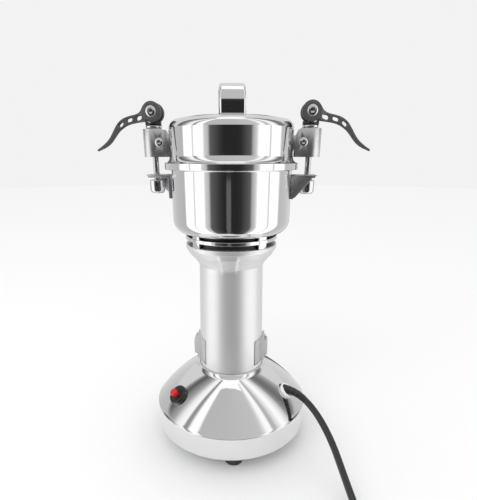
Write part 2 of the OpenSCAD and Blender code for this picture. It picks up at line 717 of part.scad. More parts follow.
// Way of the strain relief through the grommet
module cord_bore(r) {
    a = cord_route[0];
    d = cord_route[2] - a;
    translate(a) rotate([0, 0, atan2(d[1], d[0])]) rotate([0, 90, 0])
        translate([-1, 0, -10]) cylinder(r = r, h = 50);
}

// Parts of the grinding bowl
ring_neck_r = ring_r - groove_d;
seal_r = 9.5;
post_angle = 7;
module bowl_base_ring() color(steel) difference() {
    union() {
        rotate_extrude($fn = 120) polygon([
            [seal_r + seat_gap, collar_z], [ring_neck_r, collar_z], [ring_neck_r, collar_z + 3.8],
            [ring_r - 0.5, collar_z + 4.1], [ring_r, collar_z + 4.6], [ring_r, collar_z + ring_h - 3],
            [ring_r - 0.5, collar_z + ring_h - 2.5], [ring_neck_r, collar_z + ring_h - 2.2],
            [ring_neck_r, bowl_z], [seal_r + seat_gap, bowl_z]]);
        for (a = [45:90:315]) rotate([0, 0, a]) intersection() {
            wedge(post_angle, collar_z, bowl_z);
            rotate_extrude($fn = 120) translate([ring_neck_r - 1, collar_z]) square([groove_d + 0.2, ring_h]);
        }
    }
    for (a = bowl_screw_angles) rotate([0, 0, a]) translate([bowl_screw_r, 0, 0])
        post(2.05, collar_z - 1, bowl_z + 1);
}

module bowl_shell() color(steel) difference() {
    rotate_extrude($fn = 120) polygon(concat(
        [[seal_r + seat_gap, bowl_z]],
        arc(bowl_r - bowl_corner, bowl_z + bowl_corner, bowl_corner, -90, 0, 10),
        [[bowl_r, flange_z - flange_t - 0.8], [bowl_r + 0.8, flange_z - flange_t],
         [bowl_flange_r - 0.5, flange_z - flange_t], [bowl_flange_r, flange_z - flange_t + 0.5],
         [bowl_flange_r, flange_z - 0.5], [bowl_flange_r - 0.5, flange_z],
         [bowl_r - bowl_wall + 0.6, flange_z], [bowl_r - bowl_wall, flange_z - 0.6]],
        arc(bowl_r - bowl_corner, bowl_z + bowl_corner, bowl_corner - bowl_wall, 0, -90, 10),
        [[seal_r + seat_gap, floor_z]]));
    for (a = bowl_screw_angles) rotate([0, 0, a]) translate([bowl_screw_r, 0, 0])
        post(2.05, bowl_z - 1, floor_z + 1);
}

module bowl_screws() color(steel)
    for (a = bowl_screw_angles) rotate([0, 0, a]) translate([bowl_screw_r, 0, 0]) difference() {
        union() {
            post(2, collar_z - 5, floor_z + 1);
            post(3.6, floor_z, floor_z + 2.2);
        }
        translate([0, 0, floor_z + 1]) cylinder(r = 1.25, h = 3, $fn = 6);
    }

module shaft_seal() color(dark) difference() {
    union() {
        post(seal_r, collar_z + 1, floor_z);
        post(seal_r + 1.8, floor_z, seal_z1);
    }
    post(shaft_r + running, collar_z, seal_z1 + 1);
    post(shaft_r + 2, collar_z, collar_z + 4);
}

// Fork bracket with one side gusset, hugging the bowl's wall; drawn on the right
fork_w = 18.4;
fork_slot_r = rod_r + 0.45;
module fork_bracket() difference() {
    union() {
        translate([bowl_r - 3, -fork_w / 2, fork_z1 - fork_h]) cube([4.9, fork_w, fork_h]);
        translate([0, fork_w / 2, 0]) rotate([90, 0, 0]) linear_extrude(fork_w) polygon([
            [bowl_r, fork_z1], [fork_x1, fork_z1], [fork_x1, fork_z0 + fork_t * 0.8],
            [fork_x1 - 1.9, fork_z0], [bowl_r, fork_z0]]);
        translate([0, -fork_w / 2 + 1.5, 0]) rotate([90, 0, 0]) linear_extrude(1.5) polygon([
            [bowl_r, fork_z1 - 0.5], [rod_x + 3, fork_z1 - 0.5], [rod_x + 3, fork_z0 - 1],
            [bowl_r + 3, fork_z1 - fork_h + 1], [bowl_r, fork_z1 - fork_h + 1]]);
    }
    post(bowl_r + seat_gap, bowl_z, flange_z);
    translate([rod_x, 0, 0]) post(fork_slot_r, fork_z0 - 1, fork_z1 + 1);
    translate([rod_x, -fork_slot_r, fork_z0 - 1]) cube([20, 2 * fork_slot_r, fork_t + 2]);
}
module fork_brackets() color(steel) for (turn = [LEFT, RIGHT]) side(turn) fork_bracket();

// Rotor: everything that turns with the motor shaft
module motor_shaft() color(steel) union() {
    post(shaft_r, shaft_z0, shaft_z1 - 0.6);
    translate([0, 0, shaft_z1 - 0.6]) cylinder(r1 = shaft_r, r2 = shaft_r - 0.6, h = 0.6);
}

slots = 12;
slot_ring_r = armature_r - 2.9;
module armature_core() color([0.35, 0.36, 0.38]) translate([0, 0, stack_z])
    linear_extrude(stack_h) difference() {
        circle(r = armature_r);
        circle(r = shaft_r + seat_gap);
        for (i = [0:slots - 1]) rotate(360 * i / slots) {
            translate([slot_ring_r, 0]) circle(r = 1.6);
            translate([slot_ring_r, -0.5]) square([5, 1]);
        }
    }

module armature_winding() color(copper) {
    for (z = [stack_z - 7, stack_z + stack_h + 0.1]) difference() {
        post(slot_ring_r + 1.8, z, z + 6.9);
        post(shaft_r + 1.2, z - 1, z + 8);
    }
    for (i = [0:slots - 1]) rotate([0, 0, 360 * i / slots]) translate([slot_ring_r, 0, 0])
        post(1.4, stack_z - 1, stack_z + stack_h + 1);
}

module commutator() color(copper) difference() {
    union() {
        post(commutator_r, commutator_z, commutator_z + commutator_h);
        post(commutator_r + 1, commutator_z + commutator_h - 0.1, commutator_z + commutator_h + 1.6);
    }
    post(shaft_r + seat_gap, commutator_z - 1, commutator_z + commutator_h + 3);
    for (i = [0:slots - 1]) rotate([0, 0, 360 * i / slots])
        translate([commutator_r - 0.9, -0.25, commutator_z - 1]) cube([4, 0.5, commutator_h + 4]);
}

module cooling_fan() color([0.85, 0.85, 0.83]) difference() {
    union() {
        post(shaft_r * 2, fan_z - 0.6, fan_z + fan_h);
        post(fan_r, fan_z, fan_z + 1.4);
        for (i = [0:10]) rotate([0, 0, 360 * i / 11]) translate([shaft_r * 2 - 1, 0, fan_z + 1])
            rotate([0, 0, 24]) cube([fan_r - shaft_r * 2 - 0.6, 1.2, fan_h - 1]);
    }
    post(shaft_r + seat_gap, fan_z - 2, fan_z + fan_h + 1);
}

// Blade seen from its side (tip rise) and from above (taper), crossed with each other
module blade(z, rise) translate([0, 0, z]) difference() {
    intersection() {
        rotate([90, 0, 0]) linear_extrude(blade_w, center = true) polygon([
            [-blade_r, rise], [-16, 0], [16, 0], [blade_r, rise],
            [blade_r, rise + blade_t * 0.5], [blade_r - 1, rise + blade_t], [16, blade_t],
            [-16, blade_t], [-blade_r + 1, rise + blade_t], [-blade_r, rise + blade_t * 0.5]]);
        translate([0, 0, -20]) linear_extrude(50) polygon([
            [-blade_r, -blade_w * 0.12], [-14, -blade_w / 2], [10, -blade_w / 2],
            [blade_r - 3, -blade_w * 0.32], [blade_r, blade_w * 0.12], [14, blade_w / 2],
            [-10, blade_w / 2], [-blade_r + 3, blade_w * 0.32]]);
    }
    cylinder(r = shaft_r + seat_gap, h = 40, center = true);
}
module lower_blade() color(steel) blade(lower_blade_z, -2.5);
module upper_blade() color(steel) rotate([0, 0, 90]) blade(upper_blade_z, upper_rise);

module blade_spacers() color(steel) difference() {
    union() {
        post(7, seal_z1 + free_gap, lower_blade_z);
        post(7, lower_blade_z + blade_t, upper_blade_z);
    }
    post(shaft_r + seat_gap, floor_z, upper_blade_z + 1);
}

module blade_nut() color(steel) difference() {
    union() {
        post(7.5, blade_nut_z, blade_nut_z + 1.2);
        translate([0, 0, blade_nut_z + 1.2]) cylinder(r = 7.2, h = blade_nut_h - 1.2, $fn = 6);
    }
    post(shaft_r + seat_gap, blade_nut_z - 1, blade_nut_z + 9);
}

// Lid
flat_top_r = bowl_r - 18;
dome_drop = 2;
lid_foot_w = 4.2;
shoulder_cx = bowl_r - lid_shoulder;
shoulder_cz = lid_top - dome_drop - lid_shoulder;
module lid_shell() color(steel) rotate_extrude($fn = 120) polygon(concat(
    [[bowl_r - bowl_wall, lid_z], [flange_r - skirt_t, lid_z],
     [flange_r - skirt_t, flange_z - flange_t], [flange_r - 0.4, flange_z - flange_t],
     [flange_r, flange_z - flange_t + 0.4], [flange_r, lid_z + flange_t - 0.5],
     [flange_r - 0.2, lid_z + flange_t - 0.1]],
    [for (q = arc(0, 0, 1, -90, -180, 8)) [bowl_r + lid_foot_w + lid_foot_w * q[0],
        lid_z + flange_t + lid_foot_h + lid_foot_h * q[1]]],
    arc(shoulder_cx, shoulder_cz, lid_shoulder, 0, 80, 8),
    [[flat_top_r, lid_top], [0, lid_top], [0, lid_top - bowl_wall], [flat_top_r, lid_top - bowl_wall]],
    arc(shoulder_cx, shoulder_cz, lid_shoulder - bowl_wall, 80, 0, 8)));

module lid_gasket() color([0.85, 0.85, 0.82]) difference() {
    post(bowl_flange_r - 0.3, gasket_z, lid_z);
    post(bowl_r - 1, gasket_z - 1, lid_z + 1);
}

// Handle outline in its own plane: half of it from a foot to the crown, at an inset
function handle_half(s, inset) = concat(
    [[s * (handle_len / 2 - 13), inset], [s * (handle_len / 2 - inset), inset]],
    [for (i = [0:8]) let (a = i * 90 / 8) [
        s * (handle_len / 2 - handle_bend + (handle_bend - inset) * cos(a)),
        handle_h - handle_bend + (handle_bend - inset) * sin(a)]]);
function flip(p) = [for (i = [len(p) - 1:-1:0]) p[i]];
function handle_ring(lo, hi) = concat(
    [for (q = handle_half(-1, lo)) q], flip(handle_half(1, lo)),
    handle_half(1, hi), flip(handle_half(-1, hi)));
module handle_band(lo, hi, x0, w) translate([x0 + w, 0, lid_top]) rotate([90, 0, 0])
    rotate([0, -90, 0]) linear_extrude(w) polygon(handle_ring(lo, hi));
module lid_handle() color(steel) rotate([0, 0, handle_turn]) difference() {
    union() {
        handle_band(0, handle_t, -handle_w / 2, handle_w);
        for (x = [-handle_w / 2, handle_w / 2 - 2]) handle_band(0, handle_t + 0.9, x, 2);
    }
    for (s = [-1, 1]) translate([0, s * handle_screw_y, 0]) post(2.05, lid_top - 5, lid_top + 5);
}
handle_screw_y = handle_len / 2 - 9;

module handle_screws() color(steel) rotate([0, 0, handle_turn]) for (s = [-1, 1])
    translate([0, s * handle_screw_y, 0]) {
        post(2, lid_top, lid_top + handle_t + 1);
        translate([0, 0, lid_top + handle_t]) difference() {
            cylinder(r = 3.6, h = 2.2);
            translate([0, 0, 1.2]) cylinder(r = 1.3, h = 3, $fn = 6);
        }
    }

// Clamp pieces, drawn on the right-hand side
lug_in = yoke_w / 2 - 4.4;
lug_out = yoke_w / 2 - 2.6;
module lid_lug() difference() {
    union() {
        for (s = [-1, 1]) translate([0, s * (lug_in + lug_out) / 2, 0]) rotate([90, 0, 0])
            linear_extrude(lug_out - lug_in, center = true) {
                translate([pin_x, pin_z]) circle(r = 4.2);
                polygon([[bowl_r - 2, pin_z - 6], [bowl_r + 2, pin_z - 6], [pin_x + 1, pin_z - 4.1],
                         [pin_x + 1, pin_z + 4.1], [bowl_r + 2, pin_z + 5], [bowl_r - 2, pin_z + 5]]);
            }
        translate([bowl_r - 2, -lug_out, pin_z - 6]) cube([3.4, 2 * lug_out, 11]);
    }
    post(bowl_r + seat_gap, lid_z, lid_top);
    translate([pin_x, 0, pin_z]) cross_pin(2 + seat_gap, 40);
}
module lid_lugs() color(steel) for (turn = [LEFT, RIGHT]) side(turn) lid_lug();

module hinge_pins() color(steel) for (turn = [LEFT, RIGHT]) side(turn)
    translate([pin_x, 0, pin_z]) difference() {
        union() {
            cross_pin(2, yoke_w + 1);
            for (s = [-1, 1]) rotate([s * 90, 0, 0]) translate([0, 0, yoke_w / 2 + 0.15])
                rotate_extrude() polygon(concat([[0, 0], [pin_head_r, 0]],
                    [for (q = arc(0, 0, 1, 0, 75, 5)) [pin_head_r * q[0], 0.4 + (pin_head_h - 0.4) * q[1]]],
                    [[0, pin_head_h]]));
        }
        rotate([90, 0, 0]) translate([0, 0, yoke_w / 2 + 0.5]) cylinder(r = 1.5, h = 3, $fn = 6);
        rotate([-90, 0, 0]) translate([0, 0, yoke_w / 2 + 0.5]) cylinder(r = 1.5, h = 3, $fn = 6);
    }

// Yoke: a block bent round the rod, slotted for the lid's lug, with its upper
// inner corner cut away so that it can swing out
module clamp_yoke(turn) color(steel) side(turn) difference() {
    translate([0, 0, yoke_z]) linear_extrude(yoke_h) difference() {
        union() {
            translate([rod_x, 0]) circle(d = yoke_w);
            translate([bowl_r + 1.4, -yoke_w / 2]) square([rod_x - bowl_r - 1.4, yoke_w]);
        }
        translate([bowl_r, -lug_out - 0.2]) square([pin_x + 4.7 - bowl_r, 2 * lug_out + 0.4]);
    }
    translate([0, yoke_w, 0]) rotate([90, 0, 0]) linear_extrude(2 * yoke_w) polygon([
        [bowl_r - 2, pin_z + 2], [bowl_r + 1.4, pin_z + 3.4], [pin_x - 2.7, yoke_top],
        [pin_x - 2.7, yoke_top + 3], [bowl_r - 2, yoke_top + 3]]);
    translate([rod_x, 0, 0]) post(rod_r + seat_gap, yoke_z - 1, yoke_top + 1);
    translate([pin_x, 0, pin_z]) cross_pin(2 + running, 40);
}

module clamp_rod(turn) color(steel) side(turn) translate([rod_x, 0, 0])
    post(rod_r, nut_z0 + 2, cam_z + barrel_r - 0.6);

// Pin along Y, w long between two domed ends that rise by h
module domed_pin(r, w, h) rotate([90, 0, 0]) rotate_extrude() polygon(concat(
    [[0, -w / 2 - h]], [for (q = arc(0, 0, 1, -75, 0, 5)) [r * q[0], -w / 2 + h * q[1]]],
    [for (q = arc(0, 0, 1, 0, 75, 5)) [r * q[0], w / 2 + h * q[1]]], [[0, w / 2 + h]]));

module cam_pin(turn) color(steel) side(turn) translate([rod_x, 0, cam_z]) difference() {
    domed_pin(barrel_r, lever_w + 0.2, 1.2);
    post(rod_r + seat_gap, -barrel_r - 1, barrel_r - 0.6);
    for (s = [-1, 1]) rotate([s * 90, 0, 0]) translate([0, 0, lever_w / 2 - 2])
        cylinder(r = 2.2, h = 4, $fn = 6);
}

// Plastic seat with a trough for the cam
module cam_seat(turn) color(dark) side(turn) translate([rod_x, 0, 0]) difference() {
    post(seat_r, seat_z, seat_z + seat_t + seat_rim);
    post(rod_r + seat_gap, seat_z - 1, seat_z + 8);
    translate([0, 0, cam_z]) cross_pin(cam_r + cam_throw + free_gap, 40);
}

// Round nut with a domed end, and the washer under the cam seat
module clamp_nuts(turn) color(steel) side(turn) translate([rod_x, 0, 0]) difference() {
    union() {
        rotate_extrude() polygon(concat(
            [[0, nut_z0]], arc(nut_r - 3, nut_z0 + 3, 3, -90, 0, 6),
            [[nut_r, nut_z1 - 0.5], [nut_r - 0.5, nut_z1], [0, nut_z1]]));
        rotate_extrude() polygon([[0, yoke_top], [seat_r - 1, yoke_top], [seat_r, yoke_top + 0.8],
            [seat_r, seat_z - 0.6], [seat_r - 0.6, seat_z], [0, seat_z]]);
    }
    post(rod_r + seat_gap, nut_z0 + 2 - seat_gap, seat_z + 1);
}

// Lever outline from the cam head to the tip, as seen from the front, for a reach of 48.6
lever_scale = lever_reach / 48.6;
lever_top = [[1.0, 6.0], [5.2, 4.6], [8.6, 0.5], [13.5, -1.8], [19.3, -3.1], [24.4, -4.9],
             [28.8, -8.1], [32.6, -13.0], [36.6, -18.8], [41.4, -23.4], [48.6, -28.1]];
lever_under = [[48.2, -29.2], [40.8, -25.9], [36.0, -22.2], [32.1, -17.6], [28.4, -13.7],
               [23.3, -10.4], [18.2, -8.6], [11.5, -7.5], [5.5, -6.4], [0.5, -6.9]];
lever_holes = [[10.6, -4.4, 6.0, 3.6, -14], [19.0, -5.9, 5.2, 3.0, -16], [26.3, -9.3, 4.8, 2.8, -40]];
module lever_arm2d() difference() {
    polygon(lever_scale * concat(spline(lever_top, 3), spline(lever_under, 3)));
    for (h = lever_holes) translate(lever_scale * [h[0], h[1]]) rotate(h[4])
        slot2d(lever_scale * h[2], lever_scale * h[3]);
}
module clamp_lever(turn) color(anodised) side(turn) translate([rod_x, 0, cam_z]) difference() {
    union() {
        rotate([0, 135, 0]) translate([cam_throw, 0, 0]) cross_pin(cam_r, lever_w);
        intersection() {
            rotate([90, 0, 0]) linear_extrude(lever_w, center = true) lever_arm2d();
            translate([0, 0, -60]) linear_extrude(120) polygon([
                [0, -lever_w / 2], [0.14 * lever_reach, -lever_w / 2], [0.24 * lever_reach, -arm_w / 2],
                [0.6 * lever_reach, -arm_w / 2], [lever_reach + 1, -arm_w * 0.3],
                [lever_reach + 1, arm_w * 0.3], [0.6 * lever_reach, arm_w / 2],
                [0.24 * lever_reach, arm_w / 2], [0.14 * lever_reach, lever_w / 2], [0, lever_w / 2]]);
        }
    }
    cross_pin(barrel_r + running, 40);
    cross_pin(cam_r + cam_throw + 0.7, 2 * rod_r + 1.5);
}

base_shell();
base_plate();
rubber_feet();
base_fasteners();
motor_housing();
bearing_bridge();
housing_screws();
ball_bearings();
stator_core();
field_coils();
brush_holders();
brush_covers();
cover_screws();
switch_body();
switch_ring_nut();
inner_wires();
cord_grommet();
strain_relief();
mains_cord();
cord_coil();
plug_body();
plug_pins();
bowl_base_ring();
bowl_shell();
bowl_screws();
shaft_seal();
fork_brackets();
switch_button();
carbon_brush(LEFT);  // carbon_brush_left
carbon_brush(RIGHT);  // carbon_brush_right
brush_spring(LEFT);  // brush_spring_left
brush_spring(RIGHT);  // brush_spring_right
motor_shaft();
armature_core();
armature_winding();
commutator();
cooling_fan();
lower_blade();
blade_spacers();
upper_blade();
blade_nut();
lid_shell();
lid_gasket();
lid_handle();
handle_screws();
lid_lugs();
hinge_pins();
clamp_yoke(LEFT);  // clamp_yoke_left
clamp_rod(LEFT);  // clamp_rod_left
cam_pin(LEFT);  // cam_pin_left
cam_seat(LEFT);  // cam_seat_left
clamp_nuts(LEFT);  // clamp_nuts_left
clamp_lever(LEFT);  // clamp_lever_left
clamp_yoke(RIGHT);  // clamp_yoke_right
clamp_rod(RIGHT);  // clamp_rod_right
cam_pin(RIGHT);  // cam_pin_right
cam_seat(RIGHT);  // cam_seat_right
clamp_nuts(RIGHT);  // clamp_nuts_right
clamp_lever(RIGHT);  // clamp_lever_right
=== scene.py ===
# %% [markdown]
# # An electric grain mill, dressed for its portrait
# The solids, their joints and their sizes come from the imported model. This notebook adds what
# makes them look real: smooth polished shells, a satin cast column, black cord and soft light.
# Every length is in metres, so a value in millimetres is written with MM.

# %% Load the frame
import json
import math

import bmesh
import bpy
import numpy as np
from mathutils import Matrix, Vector

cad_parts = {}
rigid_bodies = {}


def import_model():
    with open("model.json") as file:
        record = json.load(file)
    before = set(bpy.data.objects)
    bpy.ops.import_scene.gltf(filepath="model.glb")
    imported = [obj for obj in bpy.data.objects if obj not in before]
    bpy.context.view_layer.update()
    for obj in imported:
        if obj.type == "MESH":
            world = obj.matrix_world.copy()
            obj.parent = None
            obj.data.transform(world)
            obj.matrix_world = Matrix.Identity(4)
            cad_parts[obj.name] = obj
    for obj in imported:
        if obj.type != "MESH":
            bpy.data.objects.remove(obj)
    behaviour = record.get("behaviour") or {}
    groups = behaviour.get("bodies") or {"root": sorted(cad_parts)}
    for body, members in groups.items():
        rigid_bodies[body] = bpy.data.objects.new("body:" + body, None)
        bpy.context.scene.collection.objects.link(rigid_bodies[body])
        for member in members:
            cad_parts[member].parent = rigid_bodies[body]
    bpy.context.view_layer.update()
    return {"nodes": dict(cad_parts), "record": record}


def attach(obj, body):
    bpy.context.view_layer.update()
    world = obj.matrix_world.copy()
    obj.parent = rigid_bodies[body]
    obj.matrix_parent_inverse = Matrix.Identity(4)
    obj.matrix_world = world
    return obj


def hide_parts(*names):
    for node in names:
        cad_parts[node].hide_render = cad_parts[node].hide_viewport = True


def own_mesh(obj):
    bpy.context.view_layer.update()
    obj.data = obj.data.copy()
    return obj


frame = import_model()
nodes = frame["nodes"]
MM = 0.001

# %% [markdown]
# ## The camera
# The photograph was taken from a little above the bowl, looking down at the foot. The camera's
# place was worked out from the ellipses of the round edges, so it is set by numbers and not by
# eye. The crop of the photograph is off centre, and the lens shift stands for that.

# %% Camera
CAMERA_TURN = math.radians(3.5)
CAMERA_TILT = math.radians(22.14)
CAMERA_OUT, CAMERA_HEIGHT = 345.5 * MM, 269.3 * MM
SENSOR_W, LONG_SIDE_PX, FOCAL_PX, SHIFT_PX = 36.0, 500.0, 386.1, (7.3, 64.0)
cam_data = bpy.data.cameras.new("portrait")
cam_data.sensor_width = SENSOR_W
cam_data.lens = FOCAL_PX * SENSOR_W / LONG_SIDE_PX
cam_data.shift_x, cam_data.shift_y = SHIFT_PX[0] / LONG_SIDE_PX, SHIFT_PX[1] / LONG_SIDE_PX
cam_data.clip_start, cam_data.clip_end = 0.01, 20.0
camera = bpy.data.objects.new("portrait", cam_data)
camera.location = (CAMERA_OUT * math.sin(CAMERA_TURN), -CAMERA_OUT * math.cos(CAMERA_TURN),
                   CAMERA_HEIGHT)
camera.rotation_euler = (math.pi / 2 - CAMERA_TILT, 0.0, CAMERA_TURN)
bpy.context.scene.collection.objects.link(camera)
bpy.context.scene.camera = camera
print("camera at", [round(v, 4) for v in camera.location])

# %% [markdown]
# ## Surfaces as grids of points
# Nearly every new piece is a grid: rows of points that are joined to their neighbours by
# four-sided faces. A grid can close on itself either way, which gives tubes, rings and bowls.
# The points come from whole-array sums, so a smooth shell costs one line.

# %% Grid helper
def grid_piece(name, points, close_rows=False, close_columns=True):
    """Mesh of a (rows, columns, 3) array: point (i, j) is joined to (i+1, j) and (i, j+1).
    Rows or columns close into a ring when asked; points that coincide are merged into poles."""
    rows, cols, _ = points.shape
    i = np.arange(rows if close_rows else rows - 1)[:, None]
    j = np.arange(cols if close_columns else cols - 1)[None, :]
    i2, j2 = (i + 1) % rows, (j + 1) % cols
    quads = np.stack([i * cols + j, i * cols + j2, i2 * cols + j2, i2 * cols + j], -1)
    mesh = bpy.data.meshes.new(name)
    mesh.from_pydata(points.reshape(-1, 3).tolist(), [], quads.reshape(-1, 4).tolist())
    tidy = bmesh.new()
    tidy.from_mesh(mesh)
    bmesh.ops.remove_doubles(tidy, verts=tidy.verts, dist=1e-7)
    bmesh.ops.recalc_face_normals(tidy, faces=tidy.faces)
    tidy.to_mesh(mesh)
    tidy.free()
    mesh.shade_smooth()
    piece = bpy.data.objects.new(name, mesh)
    bpy.context.scene.collection.objects.link(piece)
    return piece


def even_normals(piece):
    """Weighted normals: large flat faces set the shading, so round edges don't bleed into them."""
    mod = piece.modifiers.new("even_normals", "WEIGHTED_NORMAL")
    mod.keep_sharp = True
    mod.weight = 100
    return piece


# %% [markdown]
# ## The mains cord
# The cord leaves a tapered relief on the foot's right side, falls to the table in one long curve
# and runs forward. The photograph crops it there, so the rest is wound into a neat coil outside
# the picture, with the plug beside it. The same points guide the solid, so the soft
# cord lies exactly where the collision model has it.

# %% Cord route
CORD_D = 6.2 * MM
cord_points = MM * np.array([
    [44, -18, 59.5], [54, -22, 60.5], [64, -26.8, 59.2], [72.5, -32.5, 55.2], [80, -40, 49.6],
    [86.3, -49, 43.4], [91.5, -59, 36.8], [95.8, -69, 29.8], [99.5, -80, 22.2], [103, -91, 14.8],
    [106, -102, 8.8], [108.7, -114, 4.8], [110.3, -128, 3.4], [111, -145, 3.2], [111, -163.8, 3.2]])


def smooth_line(points, steps):
    """Catmull-Rom curve: each stretch is a cubic in t whose slope at a point is half the
    difference of that point's two neighbours."""
    p = np.vstack([2 * points[0] - points[1], points, 2 * points[-1] - points[-2]])
    a, b, c, d = p[:-3, None], p[1:-2, None], p[2:-1, None], p[3:, None]
    t = np.linspace(0, 1, steps, endpoint=False)[None, :, None]
    square, cube = 2 * a - 5 * b + 4 * c - d, 3 * b - 3 * c + d - a
    curve = 0.5 * (2 * b + (c - a) * t + square * t**2 + cube * t**3)
    return np.vstack([curve.reshape(-1, 3), points[-1]])


COIL_X, COIL_Y, COIL_Z = 64.3 * MM, -170 * MM, 3.2 * MM
COIL_OUT, COIL_PITCH, TURNS_IN, TURNS_BACK = 46.7 * MM, 6.9 * MM, 3.0, 2.25
STEPS_PER_TURN = 48


def coil_line():
    """Flat spiral of two layers: the radius falls by one pitch a turn, then grows again, and the
    line climbs one pitch by a smooth step of the half turn about the change."""
    count = int(STEPS_PER_TURN * (TURNS_IN + TURNS_BACK)) + 1
    turns = np.linspace(0, TURNS_IN + TURNS_BACK, count)
    radius = COIL_OUT - COIL_PITCH * (TURNS_IN - np.abs(TURNS_IN - turns))
    s = np.clip((turns - TURNS_IN + 0.25) / 0.5, 0, 1)
    height = COIL_Z + COIL_PITCH * s * s * (3 - 2 * s)
    angle = -2 * np.pi * turns
    return np.stack([COIL_X + radius * np.cos(angle), COIL_Y + radius * np.sin(angle), height], -1)


coil_points = coil_line()
coil_end = coil_points[-1]
RELIEF_TIP = coil_end + [-21.3 * MM, 0, 0]
RELIEF_STEPS, STEPS = 3, 8
free_line = smooth_line(cord_points, STEPS)
relief_line = free_line[:RELIEF_STEPS * STEPS + 1]
cord_line = np.vstack([free_line[RELIEF_STEPS * STEPS:-1], coil_points,
                       np.linspace(coil_end, RELIEF_TIP, 8)[1:]])


# %% [markdown]
# A tube is a circle carried along the line. The circle's sideways arm is level and its other arm
# stands square to the line, which keeps a flat coil free of twist. The relief is such a tube too:
# it gets thinner towards its tip, and shallow grooves run round its outer half.

# %% Tube helper and the cord
def tube(name, line, radius, sides, round_ends=0.0):
    """Points line + radius * (cos a * level arm + sin a * upright arm), closed by round ends."""
    along = np.gradient(line, axis=0)
    along /= np.linalg.norm(along, axis=1, keepdims=True)
    arm = np.cross([0.0, 0.0, 1.0], along)
    arm /= np.linalg.norm(arm, axis=1, keepdims=True)
    lift = np.cross(along, arm)
    radius = np.broadcast_to(np.asarray(radius, float), len(line))
    if round_ends > 0:
        bend = np.linspace(0, np.pi / 2, 5)[:-1]
        head = line[0] - np.outer(np.cos(bend) * round_ends, along[0])
        tail = (line[-1] + np.outer(np.cos(bend) * round_ends, along[-1]))[::-1]
        line = np.vstack([head, line, tail])
        radius = np.concatenate([np.sin(bend) * radius[0], radius,
                                 (np.sin(bend) * radius[-1])[::-1]])
        arm = np.vstack([np.repeat(arm[:1], 4, 0), arm, np.repeat(arm[-1:], 4, 0)])
        lift = np.vstack([np.repeat(lift[:1], 4, 0), lift, np.repeat(lift[-1:], 4, 0)])
    a = np.linspace(0, 2 * np.pi, sides, endpoint=False)[None, :, None]
    ring = np.cos(a) * arm[:, None] + np.sin(a) * lift[:, None]
    return grid_piece(name, line[:, None] + radius[:, None, None] * ring)


cord = tube("mains_cord_soft", cord_line, CORD_D / 2, 20, round_ends=0.4 * MM)
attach(cord, "base")
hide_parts("mains_cord", "cord_coil")

SLEEVE_WALL, SLEEVE_TAPER, GROOVE_D, GROOVE_WAVES = 1.1 * MM, 1.0 * MM, 0.16 * MM, 13
sleeve_line = smooth_line(relief_line, 6)
sleeve_s = np.linspace(0, 1, len(sleeve_line))
sleeve_r = CORD_D / 2 + SLEEVE_WALL - SLEEVE_TAPER * np.clip((sleeve_s - 0.34) / 0.66, 0, 1)
sleeve_grooves = GROOVE_D * np.clip(np.sin(GROOVE_WAVES * np.pi * sleeve_s), 0, 1)
sleeve_grooves *= (sleeve_s > 0.5) & (sleeve_s < 0.97)
relief = tube("strain_relief_sleeve", sleeve_line, sleeve_r - sleeve_grooves, 24,
              round_ends=0.3 * MM)
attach(relief, "base")
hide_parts("strain_relief")
print("sleeve rings", len(sleeve_line))

# %% [markdown]
# ## Rounded profiles
# Spun and turned metal has no knife edges. A profile is a list of corners, each with its own
# radius, and the helper swaps each corner for an arc that touches both of its sides. Turning the
# profile about the motor's axis then gives a shell with a true wall.

# %% Profile helpers
def rounded(corners, closed=True, step=12.0):
    """Each corner (x, y, radius) becomes an arc tangent to its two sides: the arc starts at
    radius / tan(half the corner's angle) from it. step is the arc's angle per point, in degrees."""
    pts = np.array([c[:2] for c in corners], float)
    out = []
    for k, (x, y, radius) in enumerate(corners):
        if radius <= 0 or (not closed and k in (0, len(corners) - 1)):
            out.append([[x, y]])
            continue
        corner = pts[k]
        back, ahead = pts[k - 1] - corner, pts[(k + 1) % len(pts)] - corner
        back, ahead = back / np.linalg.norm(back), ahead / np.linalg.norm(ahead)
        half = math.acos(float(np.clip(back @ ahead, -1, 1))) / 2
        if half > math.radians(89.5):
            out.append([[x, y]])
            continue
        centre = corner + (back + ahead) / np.linalg.norm(back + ahead) * radius / math.sin(half)
        start = corner + back * radius / math.tan(half)
        end = corner + ahead * radius / math.tan(half)
        a0 = math.atan2(*(start - centre)[::-1])
        turn = (math.atan2(*(end - centre)[::-1]) - a0 + math.pi) % (2 * math.pi) - math.pi
        a = a0 + turn * np.linspace(0, 1, max(3, int(abs(math.degrees(turn)) / step) + 2))
        out.append(np.stack([centre[0] + radius * np.cos(a), centre[1] + radius * np.sin(a)], -1))
    return np.vstack(out)


def densify(profile, longest, closed=True):
    """Long sides get extra points, so that no face is much longer than asked."""
    ends = np.roll(profile, -1, axis=0) if closed else profile[1:]
    starts = profile if closed else profile[:-1]
    out = []
    for start, end in zip(starts, ends):
        count = max(1, int(np.linalg.norm(end - start) / longest))
        out.append(start + (end - start) * np.linspace(0, 1, count, endpoint=False)[:, None])
    return np.vstack(out if closed else out + [profile[-1:]])


def turned(name, profile, segments=192, closed=True):
    """Surface of revolution: (r, z) becomes (r cos a, r sin a, z) for each angle a."""
    a = np.linspace(0, 2 * np.pi, segments, endpoint=False)
    r, z = profile[:, 0, None] * MM, profile[:, 1, None] * MM
    points = np.stack([r * np.cos(a), r * np.sin(a), z + 0 * a], -1)
    return even_normals(grid_piece(name, points, close_rows=closed))


